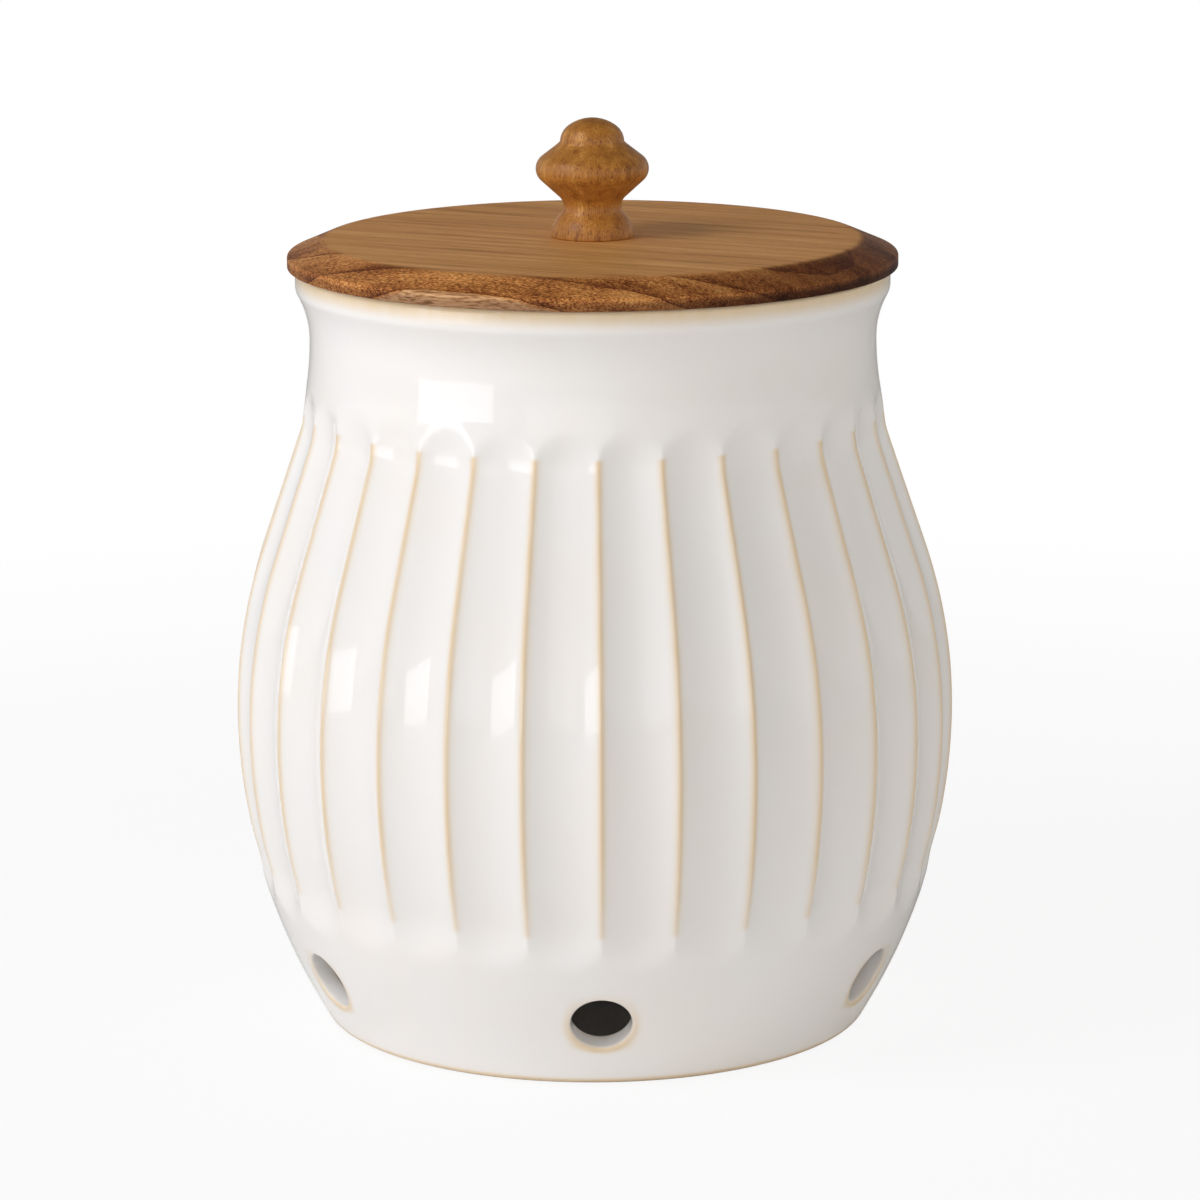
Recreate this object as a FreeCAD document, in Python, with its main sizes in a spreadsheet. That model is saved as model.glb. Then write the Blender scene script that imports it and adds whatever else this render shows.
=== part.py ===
"""Potato keeper: a fluted stoneware jar with vent holes, and a turned wooden lid with a knob.

Frame: +Z up, the origin at the middle of the foot ring's resting plane, and -Y to the front,
where one of the vent holes is. The jar is a body of revolution about Z. Its outside is fluted,
its inside is smooth, and the lid stands on the rim by its own weight.
"""
import FreeCAD, Part
import math
import os
import Sketcher

Vector = FreeCAD.Vector
UP = Vector(0, 0, 1)
EDGE_POINTS = 9  # points along an edge that are looked at to tell where it lies
CLOSE = 0.01  # millimetres within which an edge lies where it is looked for

# The driving sizes, in millimetres and degrees: alias, value, what it measures.
SIZES = [
    ("jar_height", 250.0, "foot to the top of the rim"),
    ("belly_radius", 118.4, "widest radius of the jar, before the flutes are cut"),
    ("lower_arc", 199.0, "outline radius from the foot up to the belly"),
    ("upper_arc", 181.0, "outline radius from the belly up to the shoulder"),
    ("shoulder_lean", 18.7, "lean of the straight shoulder from the vertical"),
    ("neck_inset", 26.1, "how much narrower the neck's waist is than the belly"),
    ("neck_arc", 99.6, "outline radius from the shoulder up to the waist"),
    ("flare_arc", 30.4, "outline radius from the waist out to the rim"),
    ("rim_flare", 4.4, "how far the rim stands out past the waist"),
    ("rim_turn", 6.0, "outline radius where the flare turns upright"),
    ("rim_band", 3.64, "height of the rim's upright side, below its rounded edge"),
    ("rim_round", 2.0, "rounding of both edges of the rim"),
    ("rim_swell", 0.2, "how much thicker the rim is than the wall"),
    ("mouth_turn", 6.0, "inside outline radius where the flare turns upright"),
    ("wall", 6.6, "thickness of the jar's wall, away from the flutes"),
    ("foot_round", 3.5, "rounding of the foot's outer edge"),
    ("foot_width", 7.0, "width of the foot ring's resting face"),
    ("foot_recess", 2.5, "height of the hollow inside the foot ring"),
    ("floor_height", 8.5, "height of the inside floor"),
    ("floor_round", 14.0, "rounding where the inside floor meets the wall"),
    ("flute_count", 30, "flutes around the jar"),
    ("flute_radius", 26.0, "section radius of a flute"),
    ("flute_depth", 3.9, "depth of a flute below the jar's outline"),
    ("flute_ease", 0.7, "how much less the flutes lean than the shoulder, to end shallower"),
    ("flute_flatten", 8.0, "how much flatter the flutes run than the lower outline, likewise"),
    ("flute_lift", 36.2, "from a vent hole's middle up to where the flutes' round ends begin"),
    ("flute_drop", 31.0, "from the waist down to where the flutes' round upper ends begin"),
    ("vent_count", 6, "vent holes around the jar"),
    ("vent_radius", 9.7, "radius of a vent hole's bore"),
    ("vent_rise", 14.5, "from the inside floor up to a vent hole's middle on the outside"),
    ("vent_round", 1.1, "rounding of a vent hole's edges"),
    ("lid_overhang", 2.5, "how far the lid reaches past the rim"),
    ("lid_thickness", 9.0, "thickness of the lid board"),
    ("lid_edge", 3.9, "height of the lid's upright edge"),
    ("bevel_width", 12.0, "width of the bevel round the lid's top"),
    ("bevel_soften", 6.0, "rounding where the bevel meets the flat top"),
    ("edge_soften", 1.0, "rounding where the bevel meets the upright edge"),
    ("plug_thickness", 10.0, "thickness of the plug disc under the lid"),
    ("plug_clearance", 4.0, "gap between the plug and the mouth, which the seal ring closes"),
    ("plug_chamfer", 1.5, "chamfer round the plug's lower edge"),
    ("seal_drop", 5.6, "rim's top to the bottom of the seal ring's groove"),
    ("seal_height", 4.4, "height of the seal ring's groove"),
    ("seal_depth", 3.0, "depth of the seal ring's groove"),
    ("seal_slack", 0.1, "room round the seal ring in its groove"),
    ("seal_gap", 0.3, "room between the seal ring's lips and the mouth"),
    ("lip_thickness", 1.1, "thickness of a seal lip"),
    ("lip_web", 1.0, "thickness of the ring between its lips, outside the groove"),
    ("knob_height", 38.6, "height of the knob"),
    ("knob_foot_radius", 13.5, "radius of the knob's foot"),
    ("knob_foot_arc", 10.4, "outline radius of the knob's foot"),
    ("knob_neck_radius", 9.4, "narrowest radius of the knob"),
    ("knob_neck_arc", 4.0, "outline radius of the knob's neck"),
    ("knob_belly_radius", 18.35, "widest radius of the knob"),
    ("knob_belly_height", 22.2, "height of the knob's widest place"),
    ("knob_belly_arc", 5.0, "outline radius of the knob's widest place"),
    ("dome_radius", 10.4, "radius of the dome on the knob"),
    ("dome_side_arc", 6.5, "outline radius of the dome's side"),
    ("crown_arc", 13.0, "outline radius of the dome's crown"),
    ("screw_radius", 2.0, "radius of the screw's shank"),
    ("screw_slack", 0.05, "room round the screw in the wood"),
    ("screw_length", 36.0, "length of the screw"),
    ("screw_head_radius", 4.0, "radius of the screw's countersunk head"),
    ("screw_head_rim", 0.5, "height of the upright edge of the screw's head"),
    ("screw_tip", 5.0, "length of the screw's point"),
    ("screw_sink", 0.5, "how deep the screw's head lies in the plug"),
    ("pilot_spare", 2.0, "how much deeper the knob's pilot hole is than the screw"),
    ("recess_depth", 1.8, "depth of the cross recess in the screw's head"),
    ("recess_width", 1.0, "width of each slot of the cross recess"),
    ("recess_span", 4.4, "length of each slot of the cross recess"),
    ("tool_reach", 5.0, "how far a cutting tool runs past the material"),
]

# What follows from them: alias, formula, what it measures.
FOLLOWING = [
    ("waist_radius", "=belly_radius - neck_inset", "narrowest radius of the neck"),
    ("rim_radius", "=waist_radius + rim_flare", "outside radius of the rim"),
    ("mouth_radius", "=rim_radius - wall - rim_swell", "inside radius of the rim"),
    ("lid_radius", "=rim_radius + lid_overhang", "outside radius of the lid"),
    ("flare_rise", "=sqrt(rim_flare * (2 * (flare_arc + rim_turn) - rim_flare))",
     "height from the waist to the rim's upright side"),
    ("waist_height", "=jar_height - rim_round - rim_band - flare_rise", "height of the waist"),
    ("shoulder_arcs", "=upper_arc + neck_arc", "both outline radii beside the shoulder"),
    ("shoulder_length", "=(neck_inset - shoulder_arcs * (1 - cos(shoulder_lean)))"
     " / sin(shoulder_lean)", "length of the straight shoulder"),
    ("belly_height", "=waist_height - shoulder_arcs * sin(shoulder_lean)"
     " - shoulder_length * cos(shoulder_lean)", "height of the widest place"),
    ("vent_height", "=floor_height + vent_rise", "height of a vent hole's middle, outside"),
    ("flute_foot", "=vent_height + flute_lift", "outline height of the flutes' lower ends"),
    ("flute_head", "=waist_height - flute_drop", "outline height of the flutes' upper ends"),
]

doc = FreeCAD.newDocument("PotatoKeeper")
sheet = doc.addObject("Spreadsheet::Sheet", "sizes")
for row, (alias, value, meaning) in enumerate(SIZES + FOLLOWING, start=1):
    sheet.set(f"A{row}", alias)
    sheet.set(f"B{row}", str(value))
    sheet.set(f"C{row}", meaning)
    sheet.setAlias(f"B{row}", alias)
doc.recompute()


def size(alias):
    """The value of one size from the sheet."""
    return float(sheet.get(alias))


class Outline:
    """A closed chain of lines and arcs in a sketch, drawn from point to point.

    A point is (x, y) in the sketch. Each place along the chain is known by the number of the
    line or arc that ends there, so the sizes from the sheet can be bound to it.
    """

    def __init__(self, sketch, start):
        self.sketch = sketch
        self.here = start
        self.ends = []

    def line(self, to, smooth=False):
        """Add a straight line, tangent to what comes before it when smooth is set."""
        a, b = Vector(*self.here, 0), Vector(*to, 0)
        index = self.sketch.addGeometry(Part.LineSegment(a, b), False)
        self._join(index, 1, smooth)
        self.ends.append((index, 1, 2))
        self.here = to
        return index

    def arc(self, centre, to, turn, smooth=True):
        """Add an arc about centre; turn is 1 for anticlockwise and -1 for clockwise."""
        radius = math.dist(centre, to)
        angles = [math.atan2(p[1] - centre[1], p[0] - centre[0]) for p in (self.here, to)]
        if turn < 0:
            angles.reverse()
        circle = Part.Circle(Vector(*centre, 0), UP, radius)
        index = self.sketch.addGeometry(Part.ArcOfCircle(circle, *angles), False)
        first, last = (1, 2) if turn > 0 else (2, 1)
        self._join(index, first, smooth)
        self.ends.append((index, first, last))
        self.here = to
        return index

    def _join(self, index, first, smooth):
        if self.ends:
            before, _, last = self.ends[-1]
            kind = "Tangent" if smooth else "Coincident"
            self.sketch.addConstraint(Sketcher.Constraint(kind, before, last, index, first))

    def close(self):
        """Join the chain's last end to its first."""
        before, _, last = self.ends[-1]
        index, first, _ = self.ends[0]
        self.sketch.addConstraint(Sketcher.Constraint("Coincident", before, last, index, first))

    def bind(self, expression, *constraint):
        """Add a dimension whose value comes from the sheet."""
        number = self.sketch.addConstraint(Sketcher.Constraint(*constraint))
        self.sketch.setExpression(f"Constraints[{number}]", expression)

    def end_x(self, index, expression):
        """Set the distance from the axis at which a line or arc ends."""
        last = dict((i, v) for i, _, v in self.ends)[index]
        x = self.sketch.getPoint(index, last).x
        self.bind(expression, "DistanceX", -1, 1, index, last, x)

    def end_y(self, index, expression):
        """Set the height at which a line or arc ends."""
        last = dict((i, v) for i, _, v in self.ends)[index]
        y = self.sketch.getPoint(index, last).y
        self.bind(expression, "DistanceY", -1, 1, index, last, y)

    def on_axis(self, index):
        """Hold the end of a line or arc on the axis of revolution."""
        last = dict((i, v) for i, _, v in self.ends)[index]
        self.sketch.addConstraint(Sketcher.Constraint("PointOnObject", index, last, -2))

    def on_base(self, index):
        """Hold the end of a line or arc on the sketch's horizontal axis."""
        last = dict((i, v) for i, _, v in self.ends)[index]
        self.sketch.addConstraint(Sketcher.Constraint("PointOnObject", index, last, -1))

    def radius(self, index, expression):
        """Set the radius of an arc."""
        value = self.sketch.Geometry[index].Radius
        self.bind(expression, "Radius", index, value)

    def level(self, *indices):
        """Keep lines horizontal."""
        for index in indices:
            self.sketch.addConstraint(Sketcher.Constraint("Horizontal", index))

    def upright(self, *indices):
        """Keep lines vertical."""
        for index in indices:
            self.sketch.addConstraint(Sketcher.Constraint("Vertical", index))

    def centre_level_with_end(self, index):
        """Make the outline upright where an arc ends."""
        last = dict((i, v) for i, _, v in self.ends)[index]
        self.sketch.addConstraint(Sketcher.Constraint("Horizontal", index, 3, index, last))

    def centre_level_with_start(self, index):
        """Make the outline upright where an arc starts."""
        first = dict((i, v) for i, v, _ in self.ends)[index]
        self.sketch.addConstraint(Sketcher.Constraint("Horizontal", index, 3, index, first))

    def centre_above_end(self, index):
        """Make the outline level where an arc ends."""
        last = dict((i, v) for i, _, v in self.ends)[index]
        self.sketch.addConstraint(Sketcher.Constraint("Vertical", index, 3, index, last))

    def centre_on_axis(self, index):
        """Hold an arc's centre on the axis of revolution."""
        self.sketch.addConstraint(Sketcher.Constraint("PointOnObject", index, 3, -2))

    def centre_on_base(self, index):
        """Hold an arc's centre on the sketch's horizontal axis."""
        self.sketch.addConstraint(Sketcher.Constraint("PointOnObject", index, 3, -1))

    def centre_x(self, index, expression):
        """Set the distance of an arc's centre from the axis."""
        value = self.sketch.Geometry[index].Center.x
        self.bind(expression, "DistanceX", -1, 1, index, 3, value)

    def centre_y(self, index, expression):
        """Set the height of an arc's centre."""
        value = self.sketch.Geometry[index].Center.y
        self.bind(expression, "DistanceY", -1, 1, index, 3, value)


def plane_of(body, role):
    """One of a body's own origin planes or axes."""
    return next(f for f in body.Origin.OriginFeatures if f.Role == role)


def new_body(name):
    """A body whose label names its file."""
    body = doc.addObject("PartDesign::Body", name)
    body.Label = name
    return body


def new_sketch(body, name, role="XZ_Plane"):
    """A sketch on one of a body's origin planes."""
    sketch = body.newObject("Sketcher::SketchObject", name)
    sketch.AttachmentSupport = [(plane_of(body, role), "")]
    sketch.MapMode = "FlatFace"
    return sketch


def revolve(body, kind, name, sketch):
    """Turn a sketch a full turn about the Z axis, to add or to cut."""
    feature = body.newObject(kind, name)
    feature.Profile = sketch
    feature.ReferenceAxis = (sketch, ["V_Axis"])
    feature.Angle = 360.0
    body.Tip = feature
    doc.recompute()
    return feature


def round_edges(body, name, expression, wanted):
    """Fillet the edges of a body that wanted() picks."""
    base = body.Tip
    edges = [f"Edge{n}" for n, edge in enumerate(base.Shape.Edges, start=1) if wanted(edge)]
    if not edges:
        raise RuntimeError(f"{name} found no edge to round")
    fillet = body.newObject("PartDesign::Fillet", name)
    fillet.Base = (base, edges)
    fillet.Refine = False
    fillet.setExpression("Radius", expression)
    body.Tip = fillet
    doc.recompute()
    return fillet


# The jar's outline as (radius, height): the centres of its arcs, and where they meet.
LEAN = math.radians(size("shoulder_lean"))
LOWER_CENTRE = (size("belly_radius") - size("lower_arc"), size("belly_height"))
UPPER_CENTRE = (size("belly_radius") - size("upper_arc"), size("belly_height"))


def from_centre(centre, radius, angle):
    """The point of a circle at an angle above the horizontal."""
    return (centre[0] + radius * math.cos(angle), centre[1] + radius * math.sin(angle))


def corner_in_lower_arc(arc_radius, corner_radius, base):
    """Centre and upper end of a corner that joins a level base to the lower arc."""
    reach = arc_radius - corner_radius
    drop = LOWER_CENTRE[1] - base - corner_radius
    centre = (LOWER_CENTRE[0] + math.sqrt(reach**2 - drop**2), base + corner_radius)
    angle = math.atan2(-drop, centre[0] - LOWER_CENTRE[0])
    return centre, from_centre(LOWER_CENTRE, arc_radius, angle)


def draw_side(outline, base, corner, inset, rim_radius, turn_radius):
    """Draw the jar's side from a level base up to its upright rim.

    The outside has no inset. The inside has the wall as its inset, about the same centres.
    """
    off = size(inset) if inset else 0.0
    less = f" - sizes.{inset}" if inset else ""
    more = f" + sizes.{inset}" if inset else ""
    lower, upper = size("lower_arc") - off, size("upper_arc") - off
    neck, flare, turn = size("neck_arc") + off, size("flare_arc") + off, size(turn_radius)
    corner_centre, corner_end = corner_in_lower_arc(lower, size(corner), base)
    belly = (size("belly_radius") - off, size("belly_height"))
    waist = (size("waist_radius") - off, size("waist_height"))
    neck_centre = (size("waist_radius") + size("neck_arc"), waist[1])
    flare_centre = (size("waist_radius") + size("flare_arc"), waist[1])
    swing = math.acos(1 - (size(rim_radius) - waist[0]) / (flare + turn))
    turn_centre = (size(rim_radius) - turn, waist[1] + (flare + turn) * math.sin(swing))

    corner_arc = outline.arc(corner_centre, corner_end, 1)
    lower_arc = outline.arc(LOWER_CENTRE, belly, 1)
    upper_arc = outline.arc(UPPER_CENTRE, from_centre(UPPER_CENTRE, upper, LEAN), 1)
    shoulder = outline.line(from_centre(neck_centre, neck, math.pi + LEAN), smooth=True)
    neck_arc = outline.arc(neck_centre, waist, -1)
    flare_arc = outline.arc(flare_centre, from_centre(flare_centre, flare, math.pi - swing), -1)
    turn_arc = outline.arc(turn_centre, (size(rim_radius), turn_centre[1]), 1)

    outline.radius(corner_arc, f"sizes.{corner}")
    outline.radius(lower_arc, f"sizes.lower_arc{less}")
    outline.end_x(lower_arc, f"sizes.belly_radius{less}")
    outline.end_y(lower_arc, "sizes.belly_height")
    outline.centre_level_with_end(lower_arc)
    outline.radius(upper_arc, f"sizes.upper_arc{less}")
    outline.bind("(90 + sizes.shoulder_lean) * 1 deg", "Angle", shoulder, math.pi / 2 + LEAN)
    outline.radius(neck_arc, f"sizes.neck_arc{more}")
    outline.end_x(neck_arc, f"sizes.waist_radius{less}")
    outline.centre_level_with_end(neck_arc)
    outline.radius(flare_arc, f"sizes.flare_arc{more}")
    outline.radius(turn_arc, f"sizes.{turn_radius}")
    outline.end_x(turn_arc, f"sizes.{rim_radius}")


def draw_jar_outline(sketch):
    """The solid jar, before it is hollowed: foot ring, side, rim and the recess beneath."""
    foot_centre, _ = corner_in_lower_arc(size("lower_arc"), size("foot_round"), 0.0)
    recess_edge = foot_centre[0] - size("foot_width")
    recess_top = recess_edge - size("foot_recess")
    top, rim_round = size("jar_height"), size("rim_round")
    outline = Outline(sketch, (recess_edge, 0.0))
    foot = outline.line((foot_centre[0], 0.0))
    draw_side(outline, 0.0, "foot_round", None, "rim_radius", "rim_turn")
    rim_side = outline.line((size("rim_radius"), top - rim_round), smooth=True)
    rim_centre = (size("rim_radius") - rim_round, top - rim_round)
    rim_arc = outline.arc(rim_centre, (rim_centre[0], top), 1)
    rim_top = outline.line((0.0, top), smooth=True)
    axis = outline.line((0.0, size("foot_recess")))
    ceiling = outline.line((recess_top, size("foot_recess")))
    slope = outline.line((recess_edge, 0.0))
    outline.close()
    outline.level(foot, ceiling)
    outline.on_base(foot)
    outline.bind("sizes.foot_width", "DistanceX", foot, 1, foot, 2, size("foot_width"))
    outline.radius(rim_arc, "sizes.rim_round")
    outline.upright(rim_side)
    outline.level(rim_top)
    outline.end_y(rim_top, "sizes.jar_height")
    outline.on_axis(rim_top)
    outline.on_axis(axis)
    outline.end_y(axis, "sizes.foot_recess")
    outline.bind("sizes.foot_recess", "DistanceX", slope, 1, slope, 2, size("foot_recess"))


def draw_cavity(sketch):
    """The jar's inside: floor, wall and mouth, with the cut run on above the rim."""
    floor, top, rim_round = size("floor_height"), size("jar_height"), size("rim_round")
    inside = size("lower_arc") - size("wall")
    floor_centre, _ = corner_in_lower_arc(inside, size("floor_round"), floor)
    outline = Outline(sketch, (0.0, floor))
    level = outline.line((floor_centre[0], floor))
    draw_side(outline, floor, "floor_round", "wall", "mouth_radius", "mouth_turn")
    mouth = outline.line((size("mouth_radius"), top - rim_round), smooth=True)
    lip_centre = (size("mouth_radius") + rim_round, top - rim_round)
    lip = outline.arc(lip_centre, (lip_centre[0], top), -1)
    above = outline.line((lip_centre[0], top + size("tool_reach")))
    lid = outline.line((0.0, top + size("tool_reach")))
    axis = outline.line((0.0, floor))
    outline.close()
    outline.level(level, lid)
    outline.upright(mouth, above, axis)
    outline.radius(lip, "sizes.rim_round")
    outline.end_y(lip, "sizes.jar_height")
    outline.centre_above_end(lip)
    outline.end_y(above, "sizes.jar_height + sizes.tool_reach")
    outline.on_axis(axis)
    outline.end_y(axis, "sizes.floor_height")


def flute_tool():
    """What one flute removes: a ball swept along a path beside the jar, towards +X.

    The path keeps a fixed distance from the outline: along the lower arc, the upper arc, and
    then straight up the shoulder. The ball's radius is the flute's section radius, so both ends
    of a flute are round.
    """
    ball = size("flute_radius")
    stand_off = ball - size("flute_depth")
    middle = size("belly_height")
    start = size("belly_radius") + stand_off
    low_radius = size("lower_arc") + stand_off + size("flute_flatten")
    high_radius = size("upper_arc") + stand_off
    low_angle = math.asin((middle - size("flute_foot")) / size("lower_arc"))
    high_angle = LEAN - math.radians(size("flute_ease"))
    straight = size("flute_head") - middle - size("upper_arc") * math.sin(high_angle)
    straight /= math.cos(high_angle)

    def on_path(radius, angle):
        x, z = from_centre((start - radius, middle), radius, angle)
        return Vector(x, 0, z)

    down = Vector(-math.sin(low_angle), 0, -math.cos(low_angle))
    up = Vector(-math.sin(high_angle), 0, math.cos(high_angle))
    foot, belly = on_path(low_radius, -low_angle), on_path(low_radius, 0)
    shoulder = on_path(high_radius, high_angle)
    head = shoulder + up * straight
    path = Part.Wire([
        Part.Arc(foot, on_path(low_radius, -low_angle / 2), belly).toShape(),
        Part.Arc(belly, on_path(high_radius, high_angle / 2), shoulder).toShape(),
        Part.LineSegment(shoulder, head).toShape(),
    ])
    ring = Part.Wire([Part.Circle(foot, down, ball).toShape()])
    faces = path.makePipe(ring).Faces
    for centre, outward in ((foot, down), (head, up)):
        side = outward.cross(Vector(0, 1, 0))
        if side.x < 0:
            side = side * -1
        quarter = Part.Arc(centre + side * ball, centre + (side + outward).normalize() * ball,
                           centre + outward * ball)
        faces += quarter.toShape().revolve(centre, outward, 360).Faces
    shell = Part.makeShell(faces)
    shell.sewShape()
    tool = Part.Solid(shell)
    if tool.Volume < 0:
        tool.reverse()
    return tool


def flute_tools():
    """All flutes, with a ridge between two of them at the front."""
    tool = flute_tool()
    count = int(size("flute_count"))
    copies = []
    for number in range(count):
        copy = tool.copy()
        copy.rotate(Vector(0, 0, 0), UP, -90 + (number + 0.5) * 360 / count)
        copies.append(copy)
    return Part.makeCompound(copies)


def is_vent_edge(edge):
    """Whether an edge is the round edge of a vent hole, inside or outside."""
    tilt = math.asin((size("belly_height") - size("vent_height")) / size("lower_arc"))
    radius, height = from_centre(LOWER_CENTRE, size("lower_arc"), -tilt)
    axis = Vector(math.cos(tilt), 0, -math.sin(tilt))
    if edge.Curve.TypeId == "Part::GeomLine":
        return False
    for turn in range(int(size("vent_count"))):
        spin = FreeCAD.Rotation(UP, -90 + turn * 360 / size("vent_count"))
        middle = spin.multVec(Vector(radius, 0, height))
        along = spin.multVec(axis)
        points = edge.discretize(EDGE_POINTS)
        off = [((p - middle).cross(along)).Length for p in points]
        if max(abs(d - size("vent_radius")) for d in off) < CLOSE:
            return True
    return False


def build_crock():
    """The stoneware jar."""
    blank = new_body("jar_blank")
    sketch = new_sketch(blank, "jar_outline")
    draw_jar_outline(sketch)
    revolve(blank, "PartDesign::Revolution", "jar_turned", sketch)

    flutes = doc.addObject("Part::Feature", "flutes")
    flutes.Shape = flute_tools()
    fluted = doc.addObject("Part::Cut", "jar_fluted")
    fluted.Base = blank
    fluted.Tool = flutes
    doc.recompute()

    crock = new_body("crock")
    crock.BaseFeature = fluted
    doc.recompute()
    cavity = new_sketch(crock, "cavity_outline")
    draw_cavity(cavity)
    before = crock.Shape.Volume
    revolve(crock, "PartDesign::Groove", "cavity", cavity)
    if crock.Shape.Volume > before / 2:
        raise RuntimeError("the cavity wasn't cut")

    vent = crock.newObject("PartDesign::SubtractiveCylinder", "vent")
    vent.AttachmentSupport = [(plane_of(crock, "XY_Plane"), "")]
    vent.MapMode = "FlatFace"
    vent.setExpression("Radius", "sizes.vent_radius")
    vent.setExpression("Height", "sizes.wall + 2 * sizes.tool_reach")
    tilt = "asin((sizes.belly_height - sizes.vent_height) / sizes.lower_arc)"
    reach = "(sizes.lower_arc - sizes.wall - sizes.tool_reach)"
    start_y = f"-(sizes.belly_radius - sizes.lower_arc + {reach} * cos({tilt}))"
    start_z = f"sizes.belly_height - {reach} * sin({tilt})"
    # the quarter turn about the bore's own axis puts its seam at the top, not at its side
    vent.setExpression("AttachmentOffset", f"placement(vector(0; {start_y}; {start_z});"
                       f" rotationx(90 deg + {tilt}) * rotationz(90 deg))")
    crock.Tip = vent
    doc.recompute()
    vents = crock.newObject("PartDesign::PolarPattern", "vents")
    vents.Originals = [vent]
    vents.Axis = (plane_of(crock, "Z_Axis"), [""])
    vents.Angle = 360
    vents.setExpression("Occurrences", "sizes.vent_count")
    crock.Tip = vents
    doc.recompute()
    round_edges(crock, "vent_edges", "sizes.vent_round", is_vent_edge)
    return crock


def build_lid_board():
    """The wooden lid: a disc with a wide bevel round its top and a screw hole in the middle."""
    body = new_body("lid_board")
    body.setExpression("Placement.Base.z", "sizes.jar_height")
    sketch = new_sketch(body, "board_outline")
    hole = size("screw_radius") + size("screw_slack")
    radius, top = size("lid_radius"), size("lid_thickness")
    outline = Outline(sketch, (hole, 0.0))
    under = outline.line((radius, 0.0))
    side = outline.line((radius, size("lid_edge")))
    bevel = outline.line((radius - size("bevel_width"), top))
    upper = outline.line((hole, top))
    bore = outline.line((hole, 0.0))
    outline.close()
    outline.level(under, upper)
    outline.upright(side, bore)
    outline.on_base(under)
    outline.end_x(under, "sizes.lid_radius")
    outline.end_y(side, "sizes.lid_edge")
    outline.end_x(bevel, "sizes.lid_radius - sizes.bevel_width")
    outline.end_y(bevel, "sizes.lid_thickness")
    outline.end_x(upper, "sizes.screw_radius + sizes.screw_slack")
    revolve(body, "PartDesign::Revolution", "board_turned", sketch)

    def circle_at(edge_radius, height):
        def wanted(edge):
            curve = edge.Curve
            return (curve.TypeId == "Part::GeomCircle" and abs(curve.Center.z - height) < CLOSE
                    and abs(curve.Radius - edge_radius) < CLOSE)
        return wanted

    round_edges(body, "bevel_top", "sizes.bevel_soften",
                circle_at(radius - size("bevel_width"), top))
    round_edges(body, "bevel_foot", "sizes.edge_soften", circle_at(radius, size("lid_edge")))
    return body


def build_lid_plug():
    """The disc under the lid board: it centres the lid and carries the seal ring in a groove."""
    body = new_body("lid_plug")
    body.setExpression("Placement.Base.z", "sizes.jar_height - sizes.plug_thickness")
    sketch = new_sketch(body, "plug_outline")
    thick, chamfer = size("plug_thickness"), size("plug_chamfer")
    radius = size("mouth_radius") - size("plug_clearance")
    shank = size("screw_radius") + size("screw_slack")
    head = size("screw_head_radius") + size("screw_slack")
    groove_foot = thick - size("seal_drop")
    groove_top = groove_foot + size("seal_height")
    bottom = radius - size("seal_depth")
    seat = size("screw_sink") + size("screw_head_rim")
    outline = Outline(sketch, (head, 0.0))
    under = outline.line((radius - chamfer, 0.0))
    corner = outline.line((radius, chamfer))
    below = outline.line((radius, groove_foot))
    groove_in = outline.line((bottom, groove_foot))
    groove_back = outline.line((bottom, groove_top))
    groove_out = outline.line((radius, groove_top))
    above = outline.line((radius, thick))
    upper = outline.line((shank, thick))
    bore = outline.line((shank, seat + head - shank))
    sink = outline.line((head, seat))
    head_bore = outline.line((head, 0.0))
    outline.close()
    plug = "sizes.mouth_radius - sizes.plug_clearance"
    groove = "sizes.plug_thickness - sizes.seal_drop"
    outline.level(under, groove_in, groove_out, upper)
    outline.upright(below, groove_back, above, bore, head_bore)
    outline.on_base(under)
    outline.end_x(under, f"{plug} - sizes.plug_chamfer")
    outline.end_x(corner, plug)
    outline.end_y(corner, "sizes.plug_chamfer")
    outline.end_y(below, groove)
    outline.end_x(groove_in, f"{plug} - sizes.seal_depth")
    outline.end_y(groove_back, f"{groove} + sizes.seal_height")
    outline.end_x(groove_out, plug)
    outline.end_y(above, "sizes.plug_thickness")
    outline.end_x(upper, "sizes.screw_radius + sizes.screw_slack")
    outline.end_y(bore, "sizes.screw_sink + sizes.screw_head_rim + sizes.screw_head_radius"
                        " - sizes.screw_radius")
    outline.end_x(sink, "sizes.screw_head_radius + sizes.screw_slack")
    outline.end_y(sink, "sizes.screw_sink + sizes.screw_head_rim")
    revolve(body, "PartDesign::Revolution", "plug_turned", sketch)
    return body


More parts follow.
